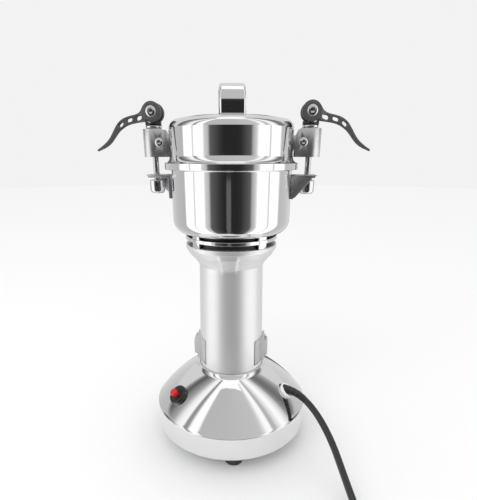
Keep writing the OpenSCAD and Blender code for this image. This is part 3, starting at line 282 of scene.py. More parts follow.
def carve(piece, *cutters):
    """Takes the cutters out of the piece for good, and removes them."""
    for cutter in cutters:
        mod = piece.modifiers.new("carve", "BOOLEAN")
        mod.operation, mod.solver, mod.object = "DIFFERENCE", "EXACT", cutter
        piece.modifiers.move(len(piece.modifiers) - 1, 0)
        keep = [m.name for m in piece.modifiers if m.type != "BOOLEAN"]
        for name in keep:
            piece.modifiers[name].show_viewport = False
        bpy.context.view_layer.update()
        evaluated = piece.evaluated_get(bpy.context.evaluated_depsgraph_get())
        solid = bpy.data.meshes.new_from_object(evaluated)
        piece.modifiers.remove(mod)
        for name in keep:
            piece.modifiers[name].show_viewport = True
        piece.data = solid
        bpy.data.objects.remove(cutter)
    return piece


# %% [markdown]
# ## Places on the foot's cone
# The switch and the cord's grommet stand square to the cone. The cone's side is a straight line
# with a slight outward bulge, so its slope is worked out at the very spot.

# %% Cone geometry
CONE_TOP, CONE_END, CONE_BULGE = np.array([33.0, 78.0]), np.array([74.3, 41.0]), 2.5
cone_along = (CONE_END - CONE_TOP) / np.linalg.norm(CONE_END - CONE_TOP)
cone_out = np.array([-cone_along[1], cone_along[0]])


def cone_at(t):
    """Point of the cone's side at share t, in millimetres: a chord plus a parabola."""
    t = np.asarray(t, float)[..., None]
    return CONE_TOP + (CONE_END - CONE_TOP) * t + cone_out * 4 * CONE_BULGE * t * (1 - t)


def on_cone(points, azimuth, t):
    """Moves points given in millimetres, with z along the cone's outward normal, to their place."""
    slope = cone_at(t + 0.01) - cone_at(t - 0.01)
    tilt, turn = math.atan2(-slope[1], slope[0]), math.radians(azimuth)
    x, y, z = points[..., 0], points[..., 1], points[..., 2]
    place = cone_at(t)
    out = x * math.cos(tilt) + z * math.sin(tilt) + place[0]
    up = -x * math.sin(tilt) + z * math.cos(tilt) + place[1]
    return MM * np.stack([out * math.cos(turn) - y * math.sin(turn),
                          out * math.sin(turn) + y * math.cos(turn), up], -1)


def turned_on_cone(name, profile, azimuth, t, segments=96, closed=True):
    """Surface of revolution about the cone's normal at one spot."""
    a = np.linspace(0, 2 * np.pi, segments, endpoint=False)
    r, z = profile[:, 0, None], profile[:, 1, None]
    points = np.stack([r * np.cos(a), r * np.sin(a), z + 0 * a], -1)
    return even_normals(grid_piece(name, on_cone(points, azimuth, t), close_rows=closed))


SWITCH_SPOT, CORD_SPOT = (-144.0, 0.6), (-22.0, 0.585)
print("switch stands at", (1000 * on_cone(np.zeros(3), *SWITCH_SPOT)).round(1))

# %% [markdown]
# ## The polished foot
# The foot is one spun sheet: a small flat under the column, a gently bulging cone, a crisp
# shoulder, an upright band and a lip turned in at the bottom. A mirror finish shows every facet,
# so the shell is laid out again on a fine grid, with the same sizes as the solid.

# %% Foot shell
cone_side = cone_at(np.linspace(0, 1, 34))
foot_outer = np.vstack([
    [[21.0, 79.7], [24.0, 79.7], [28.0, 79.7]],
    rounded([(30.0, 79.7, 0), (32.1, 79.7, 1.6), (33.9, 77.75, 0)], closed=False, step=8)[:-1],
    cone_side[1:-1],
    rounded([(73.9, 41.36, 0), (75.0, 40.4, 0.8), (75.0, 34.0, 0)], closed=False, step=6),
    densify(np.array([[75.0, 33.0], [75.0, 19.6]]), 2.0, closed=False),
    rounded([(75.0, 19.2, 0), (75.0, 16.7, 2.0), (70.0, 16.7, 0)], closed=False, step=10),
    [[66.0, 16.7]]])
along = np.gradient(foot_outer, axis=0)
along /= np.linalg.norm(along, axis=1, keepdims=True)
SHEET_WALL = 1.5
foot_inner = foot_outer + SHEET_WALL * np.stack([along[:, 1], -along[:, 0]], -1)
foot_inner[:3, 1], foot_inner[-1] = 78.2, [66.0, 18.2]
foot_inner[:, 0] = np.minimum(foot_inner[:, 0], 75.0 - SHEET_WALL)
foot = turned("foot_shell_polished", np.vstack([foot_outer, foot_inner[::-1]]), segments=240)


def peg(name, spot, radius, low, high):
    """A plain round peg square to the cone, used to cut a hole."""
    outline = np.array([[0, low], [radius, low], [radius, high], [0, high]])
    return turned_on_cone(name, outline, *spot, segments=64, closed=False)


SWITCH_HOLE_R, CORD_HOLE_R = 8.02, 6.22
carve(foot, peg("switch_hole", SWITCH_SPOT, SWITCH_HOLE_R, -8, 8),
      peg("cord_hole", CORD_SPOT, CORD_HOLE_R, -8, 8))
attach(foot, "base")
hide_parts("base_shell")
print("foot shell faces", len(foot.data.polygons))

# %% [markdown]
# ## The cast column
# The column is a tapered casting that flares into a collar. Its two side windows take the brush
# covers, and a low pad stands on the front of the flare. Castings have soft edges, so every corner
# gets a radius, and the pad rises by a smooth step.

# %% Column
column_profile = rounded([
    (27.62, 79.72, 0.3), (30.7, 79.72, 0.5), (28.8, 179.6, 0.8), (33.0, 185.8, 9.0),
    (36.9, 189.8, 5.0), (40.2, 195.2, 3.0), (40.2, 198.68, 0.6), (29.2, 198.68, 0.5),
    (29.2, 191.7, 2.0), (25.1, 182.0, 2.0), (24.4, 181.0, 1.0), (15.0, 181.0, 0.5),
    (15.0, 185.0, 0.5), (11.02, 185.0, 0), (11.02, 177.0, 0), (9.0, 177.0, 0), (9.0, 175.0, 0),
    (25.02, 175.0, 0), (25.02, 110.0, 0), (27.62, 108.0, 0)], step=7)


def smooth_step(low, high, value):
    """0 below low, 1 above high, with the cubic 3s^2 - 2s^3 between them."""
    share = np.clip((value - low) / (high - low), 0, 1)
    return share * share * (3 - 2 * share)


column_rz = densify(column_profile, 2.0)
column_a = np.linspace(0, 2 * np.pi, 240, endpoint=False)
from_front = np.abs(np.degrees(np.arctan2(np.cos(column_a), -np.sin(column_a))))
PAD_H, INNER_WALL = 1.4, 28.0
pad_upright = (smooth_step(177.0, 182.0, column_rz[:, 1])
               * (1 - smooth_step(190.0, 194.5, column_rz[:, 1])) * (column_rz[:, 0] > INNER_WALL))
pad_rise = PAD_H * (1 - smooth_step(10.5, 14.0, from_front)) * pad_upright[:, None]
column_r = MM * (column_rz[:, 0, None] + pad_rise)
column = even_normals(grid_piece("column_cast", np.stack([
    column_r * np.cos(column_a), column_r * np.sin(column_a),
    MM * column_rz[:, 1, None] + 0 * column_r], -1), close_rows=True))


def window_cutter(sign):
    """A pie slice with rounded corners: its outline is drawn over angle and height, and carried
    from inside the wall to outside it."""
    half, low, high = 41.9, 83.7, 108.7
    edge = densify(rounded([(-half, low, 1.5), (half, low, 1.5), (half, high, 1.5),
                            (-half, high, 1.5)], step=15), 2.0)
    middle = np.repeat([[0.0, (low + high) / 2]], len(edge), 0)
    layers = []
    for r, outline in ((24.9, middle), (24.9, edge), (33.0, edge), (33.0, middle)):
        a = np.radians(outline[:, 0])
        layers.append(np.stack([r * np.cos(a) * sign, r * np.sin(a), outline[:, 1]], -1))
    return grid_piece("window", np.stack(layers) * MM)


carve(column, window_cutter(1), window_cutter(-1))
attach(column, "base")
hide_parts("motor_housing")
print("column faces", len(column.data.polygons))

# %% [markdown]
# ## Ring, bowl and lid
# Three turned pieces of mirror-polished steel stand on the column. The ring has two deep grooves,
# crossed by four posts, and the bowl a round lower corner and a rim flange. The lid has a
# turned-down rim that hides the bowl's flange, a hollow fillet above it and a rounded shoulder.
# A pale gasket lies between the two.

# %% Ring, bowl and lid shells
RING_LOW, RING_HIGH, BORE_R = 198.72, 208.48, 9.52
ring = turned("bowl_ring_polished", densify(rounded([
    (BORE_R, RING_LOW, 0.2), (36.1, RING_LOW, 0.2), (36.1, 202.5, 0.3), (40.3, 202.9, 0.5),
    (40.3, 205.9, 0.5), (36.1, 206.3, 0.3), (36.1, RING_HIGH, 0.2), (BORE_R, RING_HIGH, 0.2)],
    step=15), 2.5))
POST_HALF, POST_IN, POST_OUT = 4.8, 35.0, 39.6
post_plan = densify(rounded([(-POST_HALF, POST_IN, 0), (-POST_HALF, POST_OUT, 0.8),
                             (POST_HALF, POST_OUT, 0.8), (POST_HALF, POST_IN, 0)], step=15), 1.0)
for number, place in enumerate((45, 135, 225, 315)):
    a, r = math.radians(place) + post_plan[:, 0] / POST_OUT, post_plan[:, 1]
    post = np.stack([np.stack([r * np.cos(a), r * np.sin(a), 0 * a + z], -1)
                     for z in (RING_LOW, RING_LOW, 202.0, 205.0, RING_HIGH, RING_HIGH)])
    post[0], post[-1] = post[0].mean(0), post[-1].mean(0)
    post = even_normals(grid_piece(f"ring_post_{number + 1}", MM * post))
    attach(post, "base")
    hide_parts("bowl_base_ring")
bowl = turned("bowl_polished", densify(rounded([
    (BORE_R, 208.52, 0.3), (50.3, 208.52, 11.0), (50.3, 259.8, 1.0), (53.3, 259.8, 0.6),
    (53.3, 261.6, 0.7), (48.7, 261.6, 0.7), (48.7, 210.1, 9.4), (BORE_R, 210.1, 0.3)],
    step=6), 2.5))
dip = np.radians(np.linspace(180, 270, 16))
lid_outer = rounded([(0.0, 298.5, 0), (32.3, 298.5, 30.0), (50.3, 295.4, 7.0), (50.3, 272.0, 0)],
                    closed=False, step=4)
lid_hollow = np.stack([54.5 + 4.2 * np.cos(dip), 271.2 + 6.4 * np.sin(dip)], -1)
lid_rest = rounded([
    (54.6, 264.8, 0), (55.0, 264.8, 0.35), (55.0, 259.8, 0.5), (53.6, 259.8, 0.4),
    (53.6, 263.0, 0.4), (48.7, 263.0, 0.4), (48.7, 294.0, 5.4), (32.0, 296.9, 30.0),
    (0.0, 296.9, 0)], closed=False, step=5)
lid_profile = densify(np.vstack([lid_outer, lid_hollow, lid_rest]), 2.5, closed=False)
lid = turned("lid_polished", lid_profile, closed=False)
for piece, body, node in ((ring, "base", "bowl_base_ring"), (bowl, "base", "bowl_shell"),
                          (lid, "lid", "lid_shell")):
    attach(piece, body)
    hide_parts(node)
print("bowl faces", len(bowl.data.polygons), "lid faces", len(lid.data.polygons))

# %% [markdown]
# ## The strap handle
# A flat strap is bent up from the lid, across and down again. Along both edges it is turned in a
# little, which stiffens it. The strap's section is carried along a path of straight legs and two
# bends, and the ends turn in as tabs for the screws.

# %% Strap handle
LID_TOP, HANDLE_W, HANDLE_LEN, HANDLE_H, HANDLE_T = 298.5, 19.6, 56.0, 21.5, 1.8
TAB_LEN, HANDLE_TURN = 13, 6.0
half_len = HANDLE_LEN / 2
strap_path = rounded([
    (-half_len + TAB_LEN, 0.0, 0), (-half_len, 0.0, 0.9), (-half_len, HANDLE_H, 12.0),
    (half_len, HANDLE_H, 12.0), (half_len, 0.0, 0.9), (half_len - TAB_LEN, 0.0, 0)],
    closed=False, step=5)
strap_path = densify(strap_path, 1.5, closed=False)
step_along = np.gradient(strap_path, axis=0)
step_along /= np.linalg.norm(step_along, axis=1, keepdims=True)
strap_in = np.stack([step_along[:, 1], -step_along[:, 0]], -1)
w, t, band, lip = HANDLE_W / 2, HANDLE_T, 2.7, 2.0
strap_section = rounded([
    (-w, 0.0, 2.0), (w, 0.0, 2.0), (w, band, 0.5), (w - lip, band, 0.5), (w - lip, t, 0.4),
    (-w + lip, t, 0.4), (-w + lip, band, 0.5), (-w, band, 0.5)], step=15)


def sweep_strap(section, path, inward, turn):
    """Each path point carries the section: its x lies across the strap and its y is measured
    inward from the outer face. The end sections shrink to their middle to close the strap."""
    y = path[:, None, 0] + inward[:, None, 0] * section[None, :, 1]
    z = LID_TOP + path[:, None, 1] + inward[:, None, 1] * section[None, :, 1]
    x = section[None, :, 0] + 0 * y
    points = np.stack([x, y, z], -1)
    ends = [np.repeat(points[k].mean(0)[None, None], points.shape[1], 1) for k in (0, -1)]
    points = np.concatenate([ends[0], points, ends[1]])
    c, s = math.cos(math.radians(turn)), math.sin(math.radians(turn))
    x, y, z = np.moveaxis(points, -1, 0)
    return MM * np.stack([x * c - y * s, x * s + y * c, z], -1)


handle = even_normals(grid_piece("strap_handle", sweep_strap(
    strap_section, strap_path, strap_in, HANDLE_TURN)))
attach(handle, "lid")
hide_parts("lid_handle")
print("handle faces", len(handle.data.polygons))

# %% [markdown]
# ## Switch, button and grommet
# The switch has a domed black bezel with a raised collar, and a red button stands in the collar.
# The grommet is a white plastic ring pressed into the foot. Their undersides reach just through
# the polished skin, so no gap shows on the cone's curve.

# %% Switch, button and grommet
BUTTON_R, BUTTON_TOP = 3.7, 9.6
bezel = turned_on_cone("switch_bezel_moulded", rounded([
    (3.76, -6.0, 0), (7.95, -6.0, 0), (7.95, 0.0, 0), (9.4, -0.9, 0), (9.4, 2.6, 1.0),
    (8.1, 3.7, 1.6), (5.6, 3.7, 0.4), (5.4, 5.0, 0.45), (3.76, 5.0, 0.3)], step=12),
    *SWITCH_SPOT)
button_side = rounded([(0.1, -3.0, 0), (BUTTON_R, -3.0, 0.2), (BUTTON_R, 9.4, 1.7),
                       (0.1, BUTTON_TOP, 0)], closed=False, step=10)
button = turned_on_cone("push_button_red", np.vstack([[[0, -3.0]], button_side, [[0, BUTTON_TOP]]]),
                        *SWITCH_SPOT, closed=False)
grommet = turned_on_cone("cord_grommet_ring", rounded([
    (4.75, -3.5, 0.4), (6.15, -3.5, 0.3), (6.15, -0.6, 0), (7.8, -0.9, 0), (7.8, 2.6, 1.2),
    (4.75, 2.6, 0.9)], step=12), *CORD_SPOT)
for piece, body, node in ((bezel, "base", "switch_body"),
                          (button, "switch_button", "switch_button"),
                          (grommet, "base", "cord_grommet")):
    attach(piece, body)
    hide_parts(node)
print("button top", (1000 * on_cone(np.array([0, 0, BUTTON_TOP]), *SWITCH_SPOT)).round(1))

# %% [markdown]
# ## The rubber feet
# Three moulded feet with a rounded lower edge. Each is turned about its own upright axis and then
# set on a circle under the foot.

# %% Feet
FEET_CIRCLE_R, FEET_AT = 54, (-84, 36, 156)
foot_profile = rounded([(2.12, 15.18, 0.2), (9.0, 15.18, 0.9), (9.0, 0.0, 1.2), (4.1, 0.0, 0.4),
                        (4.1, 5.0, 0.3), (2.12, 5.0, 0.2)], step=12)
pad_a = np.linspace(0, 2 * np.pi, 64, endpoint=False)
r, z = foot_profile[:, 0, None], foot_profile[:, 1, None]
for number, place in enumerate(np.radians(FEET_AT)):
    x0, y0 = FEET_CIRCLE_R * math.cos(place), FEET_CIRCLE_R * math.sin(place)
    points = np.stack([x0 + r * np.cos(pad_a), y0 + r * np.sin(pad_a), z + 0 * pad_a], -1)
    pad = even_normals(grid_piece(f"rubber_foot_{number + 1}", MM * points, close_rows=True))
    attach(pad, "base")
    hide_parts("rubber_feet")
print("feet", len(FEET_AT))

# %% [markdown]
# ## Plug
# The moulded plug is a soft box that narrows to the cord. A loft does it: each cross-section is a
# rounded rectangle, and its width, height and corner radius change along the plug.

# %% Plug
PLUG_LEN, PLUG_SIDES = 50.0, 64
plug_y, plug_z = coil_end[1] / MM, coil_end[2] / MM
plug_u = np.array([0, 0.02, 0.05, 0.12, 0.3, 0.5, 0.62, 0.66, 0.69, 0.72, 0.8, 0.9, 0.97, 1.0])
plug_x = RELIEF_TIP[0] / MM - PLUG_LEN + PLUG_LEN * plug_u
knots = [0, 0.02, 0.05, 0.12, 0.3, 0.55, 0.64, 0.68, 1]
half_w = np.interp(plug_u, knots, [9.5, 11.2, 11.9, 12, 11.6, 11.9, 11.0, 6.2, 3.9])[:, None]
half_h = np.interp(plug_u, knots, [7.5, 9.3, 9.9, 10, 9.0, 9.8, 9.0, 6.0, 3.9])[:, None]
power = np.interp(plug_u, [0, 0.6, 0.7, 1], [0.45, 0.45, 0.9, 1.0])[:, None]
angle = np.linspace(0, 2 * np.pi, PLUG_SIDES, endpoint=False)[None, :]
across = half_w * np.sign(np.cos(angle)) * np.abs(np.cos(angle)) ** power
upward = half_h * np.sign(np.sin(angle)) * np.abs(np.sin(angle)) ** power
plug_points = np.stack([plug_x[:, None] + 0 * across, plug_y + across, plug_z + upward], -1)
caps = [np.repeat(plug_points[k].mean(0)[None, None], PLUG_SIDES, 1) for k in (0, -1)]
plug = grid_piece("mains_plug_moulded", MM * np.concatenate([caps[0], plug_points, caps[1]]))
plug.modifiers.new("soften", "SUBSURF").levels = 1
plug.modifiers["soften"].render_levels = 1
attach(plug, "base")
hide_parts("plug_body")
print("plug from x", round(float(plug_x[0]), 1), "to", round(float(plug_x[-1]), 1))

# %% [markdown]
# ## Machined and sheet parts
# The clamps, brackets, screws and covers keep their CAD shape. Their triangles are welded, flat
# areas are joined again, and a small bevel breaks each sharp edge, because a real edge always
# catches a thin line of light.

# %% Dress a CAD node
SHARP, FLAT, WELD_M = math.radians(32.0), math.radians(1.0), 2e-6


def dress(piece, edge):
    """Welds the loose triangles, dissolves flat seams, bevels the edges and splits sharp ones."""
    piece.data.shade_smooth()
    piece.modifiers.new("weld", "WELD").merge_threshold = WELD_M
    flat = piece.modifiers.new("flat", "DECIMATE")
    flat.decimate_type, flat.angle_limit = "DISSOLVE", FLAT
    bevel = piece.modifiers.new("edge", "BEVEL")
    bevel.width, bevel.segments, bevel.limit_method = edge * MM, 2, "ANGLE"
    bevel.angle_limit, bevel.use_clamp_overlap = SHARP, True
    piece.modifiers.new("split", "EDGE_SPLIT").split_angle = SHARP


replaced = {"mains_cord", "cord_coil", "strain_relief", "base_shell", "motor_housing",
            "bowl_base_ring", "bowl_shell", "lid_shell", "lid_handle", "switch_body",
            "switch_button", "cord_grommet", "rubber_feet", "plug_body"}
edges = {"clamp_lever_left": 0.5, "clamp_lever_right": 0.5, "clamp_yoke_left": 0.4,
         "clamp_yoke_right": 0.4, "fork_brackets": 0.25, "brush_covers": 0.5, "lid_lugs": 0.2}
for name, piece in nodes.items():
    if name not in replaced:
        dress(piece, edges.get(name, 0.15))
print("dressed", len(nodes) - len(replaced))

# %% [markdown]
# A brush pushes its spring together as it slides out. Here each spring only gets a mesh of its
# own, and the mesh is not squashed.

# %% Brush springs
for side, sign in (("left", -1), ("right", 1)):
    spring = nodes[f"brush_spring_{side}"]
    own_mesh(spring)

# %% [markdown]
# ## Surface marks as node groups
# Three effects are shared by many finishes, so each is a shader group with named inputs. Polishing
# leaves faint rings round a turned piece, blasting leaves a fine even grain, and moulded plastic
# has a soft, slightly blotchy skin. The rings are noise in a space that is squeezed round the
# motor's axis, so the same wheel marks run all the way round.

# %% Node group helpers
def new_group(name, inputs, outputs):
    """A shader node group with float inputs {name: default} and float outputs."""
    group = bpy.data.node_groups.new(name, "ShaderNodeTree")
    for label, value in inputs.items():
        socket = group.interface.new_socket(label, in_out="INPUT", socket_type="NodeSocketFloat")
        socket.default_value = value
    for label in outputs:
        group.interface.new_socket(label, in_out="OUTPUT", socket_type="NodeSocketFloat")
    return group, group.nodes.new("NodeGroupInput"), group.nodes.new("NodeGroupOutput")


def maths(tree, operation, a, b=None, c=None):
    """One Math node; each argument is a number or a socket."""
    node = tree.nodes.new("ShaderNodeMath")
    node.operation = operation
    for socket, value in zip(node.inputs, (a, b, c)):
        if value is None:
            continue
        if isinstance(value, (int, float)):
            socket.default_value = value
        else:
            tree.links.new(value, socket)
    return node.outputs[0]


def noise(tree, vector, scale, detail=2.0, roughness=0.5):
    """One Noise texture; scale is a number or a socket."""
    node = tree.nodes.new("ShaderNodeTexNoise")
    node.inputs["Detail"].default_value, node.inputs["Roughness"].default_value = detail, roughness
    tree.links.new(vector, node.inputs["Vector"])
    if isinstance(scale, (int, float)):
        node.inputs["Scale"].default_value = scale
    else:
        tree.links.new(scale, node.inputs["Scale"])
    return node.outputs["Fac"]


def object_coords(tree):
    """The shaded point in object coordinates. Every piece stands at the origin, so they are the
    mill's own metres and the marks run on from piece to piece."""
    return tree.nodes.new("ShaderNodeTexCoord").outputs["Object"]


def about_axis(tree, place):
    """The point's x, y and z, and its distance from the motor's axis."""
    parts = tree.nodes.new("ShaderNodeSeparateXYZ")
    tree.links.new(place, parts.inputs[0])
    x, y, z = parts.outputs
    squares = [maths(tree, "MULTIPLY", side, side) for side in (x, y)]
    return x, y, z, maths(tree, "SQRT", maths(tree, "ADD", *squares))


# %% Polishing rings
polish, p_in, p_out = new_group("polishing_rings", {"Rings per metre": 2500.0, "Smudge": 0.5},
                                ["Rings", "Smudges"])
place = object_coords(polish)
x, y, z, out = about_axis(polish, place)
RING_SPREAD = 0.0015
ring_vector = polish.nodes.new("ShaderNodeCombineXYZ")
around = maths(polish, "MULTIPLY", maths(polish, "ARCTAN2", y, x), RING_SPREAD)
for socket, value in zip(ring_vector.inputs, (around, out, z)):
    polish.links.new(value, socket)
rings = noise(polish, ring_vector.outputs[0], p_in.outputs["Rings per metre"], 2.0, 0.6)
polish.links.new(rings, p_out.inputs["Rings"])
smudge = noise(polish, place, 55.0, 3.0, 0.6)
polish.links.new(maths(polish, "MULTIPLY", smudge, p_in.outputs["Smudge"]), p_out.inputs["Smudges"])
print("sockets", [i.name for i in p_in.outputs if i.name])

# %% Blasted grain and moulded skin
grain, g_in, g_out = new_group("blasted_grain", {"Grains per metre": 2600.0, "Patches": 0.5},
                               ["Grain", "Tone"])
place = object_coords(grain)
grains = noise(grain, place, g_in.outputs["Grains per metre"], 3.0, 0.65)
grain.links.new(grains, g_out.inputs["Grain"])
patches = maths(grain, "MULTIPLY", noise(grain, place, 70.0, 2.0, 0.5), g_in.outputs["Patches"])
grain.links.new(patches, g_out.inputs["Tone"])

skin, s_in, s_out = new_group("moulded_skin", {"Pits per metre": 1400.0}, ["Pits", "Sheen"])
place = object_coords(skin)
skin.links.new(noise(skin, place, s_in.outputs["Pits per metre"], 2.0, 0.5), s_out.inputs["Pits"])
skin.links.new(noise(skin, place, 120.0, 2.0, 0.5), s_out.inputs["Sheen"])
print("groups", [g.name for g in bpy.data.node_groups])


# %% [markdown]
# ## Finishes
# Each finish is one Principled shader. Its roughness wanders a little around a middle value and a
# faint bump breaks the highlight, both from the groups, while every constant sits on the shader.
# A table then holds one line per finish, so two finishes are easy to compare.

# %% Finish builder
COAT_ROUGH, DARKER = 0.1, 0.6
RINGS, GRAIN, SKIN = (polish, "Smudges", "Rings"), (grain, "Tone", "Grain"), (skin, "Sheen", "Pits")


def finish_of(name, colour, rough, wander, marks, bump, metal, tint, coat=0.0):
    """Principled material: roughness = rough + wander * (mask - 1/2), colour mixed a little darker
    by tint * mask, and a bump of that many metres. marks is a group, its mask and its height."""
    group, mask, height = marks
    mat = bpy.data.materials.new(name)
    mat.use_nodes = True
    tree = mat.node_tree
    shader = tree.nodes["Principled BSDF"]
    shader.inputs["Metallic"].default_value = metal
    shader.inputs["Coat Weight"].default_value = coat
    shader.inputs["Coat Roughness"].default_value = COAT_ROUGH
    worn = tree.nodes.new("ShaderNodeGroup")
    worn.node_tree = group
    roughness = maths(tree, "MULTIPLY_ADD", worn.outputs[mask], wander, rough - wander / 2)
    tree.links.new(roughness, shader.inputs["Roughness"])
    mix = tree.nodes.new("ShaderNodeMix")
    mix.data_type = "RGBA"
    mix.inputs["A"].default_value = (*colour, 1)
    mix.inputs["B"].default_value = (*[c * DARKER for c in colour], 1)
    tree.links.new(maths(tree, "MULTIPLY", worn.outputs[mask], tint), mix.inputs["Factor"])
    tree.links.new(mix.outputs["Result"], shader.inputs["Base Color"])
    relief_node = tree.nodes.new("ShaderNodeBump")
    relief_node.inputs["Distance"].default_value = bump
    tree.links.new(worn.outputs[height], relief_node.inputs["Height"])
    tree.links.new(relief_node.outputs["Normal"], shader.inputs["Normal"])
    return mat


# %% Table of finishes
# Columns: colour, roughness, its wander, marks, bump in metres, metallic, tint and coat.
looks = {
    "polished_base": ((0.80, 0.80, 0.81), 0.045, 0.03, RINGS, 1.2e-6, 1.0, 0.05),
    "polished_steel": ((0.80, 0.80, 0.81), 0.08, 0.05, RINGS, 1.5e-6, 1.0, 0.05),
    "bracket_steel": ((0.72, 0.72, 0.73), 0.36, 0.10, RINGS, 3e-6, 1.0, 0.1),
    "plain_steel": ((0.60, 0.61, 0.62), 0.28, 0.12, RINGS, 4e-6, 1.0, 0.2),
    "fastener_steel": ((0.76, 0.76, 0.77), 0.14, 0.06, RINGS, 2e-6, 1.0, 0.1),
    "blade_steel": ((0.70, 0.71, 0.73), 0.24, 0.12, GRAIN, 4e-6, 1.0, 0.2),
    "cast_aluminium": ((0.84, 0.84, 0.84), 0.46, 0.10, GRAIN, 1.6e-5, 0.75, 0.10),
    "lamination_steel": ((0.30, 0.30, 0.32), 0.42, 0.2, RINGS, 2e-5, 0.8, 0.3),
    "copper_winding": ((0.62, 0.27, 0.10), 0.30, 0.2, RINGS, 4e-5, 0.9, 0.4),
    "pin_brass": ((0.80, 0.62, 0.30), 0.18, 0.1, GRAIN, 3e-6, 1.0, 0.2),
    "lever_anodised": ((0.115, 0.115, 0.12), 0.46, 0.12, GRAIN, 6e-6, 0.5, 0.3),
    "grey_plastic": ((0.52, 0.52, 0.52), 0.38, 0.1, SKIN, 1.0e-5, 0.0, 0.15),
    "dark_plastic": ((0.05, 0.04, 0.035), 0.45, 0.2, SKIN, 1.5e-5, 0.0, 0.3),
    "black_gloss": ((0.012, 0.012, 0.012), 0.26, 0.12, SKIN, 6e-6, 0.0, 0.3),
    "button_red": ((0.62, 0.02, 0.015), 0.28, 0.1, SKIN, 5e-6, 0.0, 0.25),
    "white_plastic": ((0.86, 0.86, 0.85), 0.30, 0.1, SKIN, 6e-6, 0.0, 0.08),
    "fan_plastic": ((0.74, 0.73, 0.68), 0.42, 0.1, SKIN, 1e-5, 0.0, 0.15),
    "wire_jacket": ((0.36, 0.15, 0.06), 0.36, 0.1, SKIN, 8e-6, 0.0, 0.2),
    "cord_black": ((0.016, 0.016, 0.016), 0.22, 0.12, SKIN, 8e-6, 0.0, 0.3, 0.25),
    "carbon": ((0.03, 0.03, 0.032), 0.5, 0.2, GRAIN, 1e-5, 0.2, 0.3),
    "foot_rubber": ((0.035, 0.035, 0.035), 0.55, 0.15, SKIN, 2e-5, 0.0, 0.3),
    "seal_rubber": ((0.03, 0.03, 0.03), 0.55, 0.15, SKIN, 2e-5, 0.0, 0.3),
    "gasket_silicone": ((0.78, 0.78, 0.75), 0.42, 0.1, SKIN, 1e-5, 0.0, 0.1),
}
finishes = {name: finish_of(name, *look) for name, look in looks.items()}
print("finishes", len(finishes))

# %% [markdown]
# The floor of the ring's two grooves gets painted shade. A group masks what lies nearer to the axis
# than the ring's skin, between its lower and upper face, and the mask fades the polished steel
# there to a dark colour, which is painted shade, and to a rougher finish.

# %% Painted shade in the grooves
# The groove colour is painted shade: a dark colour put where the ring's grooves fall in shade.
GROOVE_SHADE_COLOUR, GROOVE_ROUGH = (0.07, 0.07, 0.07, 1), 0.5
groove_shade, d_in, d_out = new_group("groove_floor", {"Floor radius": 0.039}, ["Depth"])
x, y, z, out = about_axis(groove_shade, object_coords(groove_shade))
height_in = maths(groove_shade, "MULTIPLY", maths(groove_shade, "GREATER_THAN", z, 0.1986),
                  maths(groove_shade, "LESS_THAN", z, 0.2085))
inside = maths(groove_shade, "LESS_THAN", out, d_in.outputs["Floor radius"])
groove_shade.links.new(maths(groove_shade, "MULTIPLY", inside, height_in), d_out.inputs["Depth"])
steel = finishes["polished_steel"].node_tree
shader = steel.nodes["Principled BSDF"]
shade_mask = steel.nodes.new("ShaderNodeGroup")
shade_mask.node_tree = groove_shade
# Where the mask is 1, the colour becomes the painted shade and the roughness becomes the groove's
# value.
for socket, floor_value in (("Base Color", GROOVE_SHADE_COLOUR), ("Roughness", GROOVE_ROUGH)):
    mix = steel.nodes.new("ShaderNodeMix")
    mix.data_type = "RGBA" if socket == "Base Color" else "FLOAT"
    ends = [i for i in mix.inputs if i.enabled and i.name in ("Factor", "A", "B")]
    before = shader.inputs[socket].links[0].from_socket
    steel.links.new(shade_mask.outputs["Depth"], ends[0])
    steel.links.new(before, ends[1])
    ends[2].default_value = floor_value
    steel.links.new(next(o for o in mix.outputs if o.enabled), shader.inputs[socket])
print("groove mask set")

# %% [markdown]
# ## Who wears what
# The record names a material slot for every node, so the CAD pieces take their finish from it. The
# new pieces name the slot themselves.

# %% Assign finishes
slot_of = {s["node"]: s["material_slot"] for s in frame["record"]["subparts"]}
for name, piece in nodes.items():
    piece.data.materials.clear()
    piece.data.materials.append(finishes[slot_of[name]])
new_pieces = {
    cord: "cord_black", relief: "cord_black", plug: "cord_black", foot: "polished_base",
    column: "cast_aluminium", ring: "polished_steel", bowl: "polished_steel",
    lid: "polished_steel", handle: "polished_steel", bezel: "black_gloss",
    button: "button_red", grommet: "white_plastic"}
for start, label in (("rubber_foot_", "foot_rubber"), ("ring_post_", "polished_steel")):
    new_pieces.update({o: label for o in bpy.data.objects if o.name.startswith(start)})
for piece, label in new_pieces.items():
    piece.data.materials.clear()
    piece.data.materials.append(finishes[label])
print("new pieces", len(new_pieces))

# %% [markdown]
# ## The studio
# Mirror-polished steel shows the room more than itself, so the room is what gives it its look. A
# real studio has two white panels, a dark gap behind the camera and a grey ceiling. Here the sky
# holds them: a shader turns each direction into a turn from the camera's side and a rise above
# the horizon, and looks its brightness up. Only reflections see it, and all else is lit evenly.
# The turn is 0 on the camera's side and grows to the right.

# %% Directions of the sky
world = bpy.data.worlds.new("studio_room")
bpy.context.scene.world = world
world.use_nodes = True
world.cycles.sampling_method = "NONE"
room = world.node_tree
heading_xyz = room.nodes.new("ShaderNodeSeparateXYZ")
room.links.new(room.nodes.new("ShaderNodeTexCoord").outputs["Generated"], heading_xyz.inputs[0])
east, north, up = heading_xyz.outputs
towards_camera = maths(room, "MULTIPLY", north, -1.0)
turn_angle = maths(room, "ARCTAN2", east, towards_camera)
turn_share = maths(room, "MULTIPLY_ADD", turn_angle, 0.5 / math.pi, 0.5)
rise = maths(room, "MULTIPLY", maths(room, "ARCSINE", up), 180 / math.pi)
print("direction nodes", len(room.nodes))


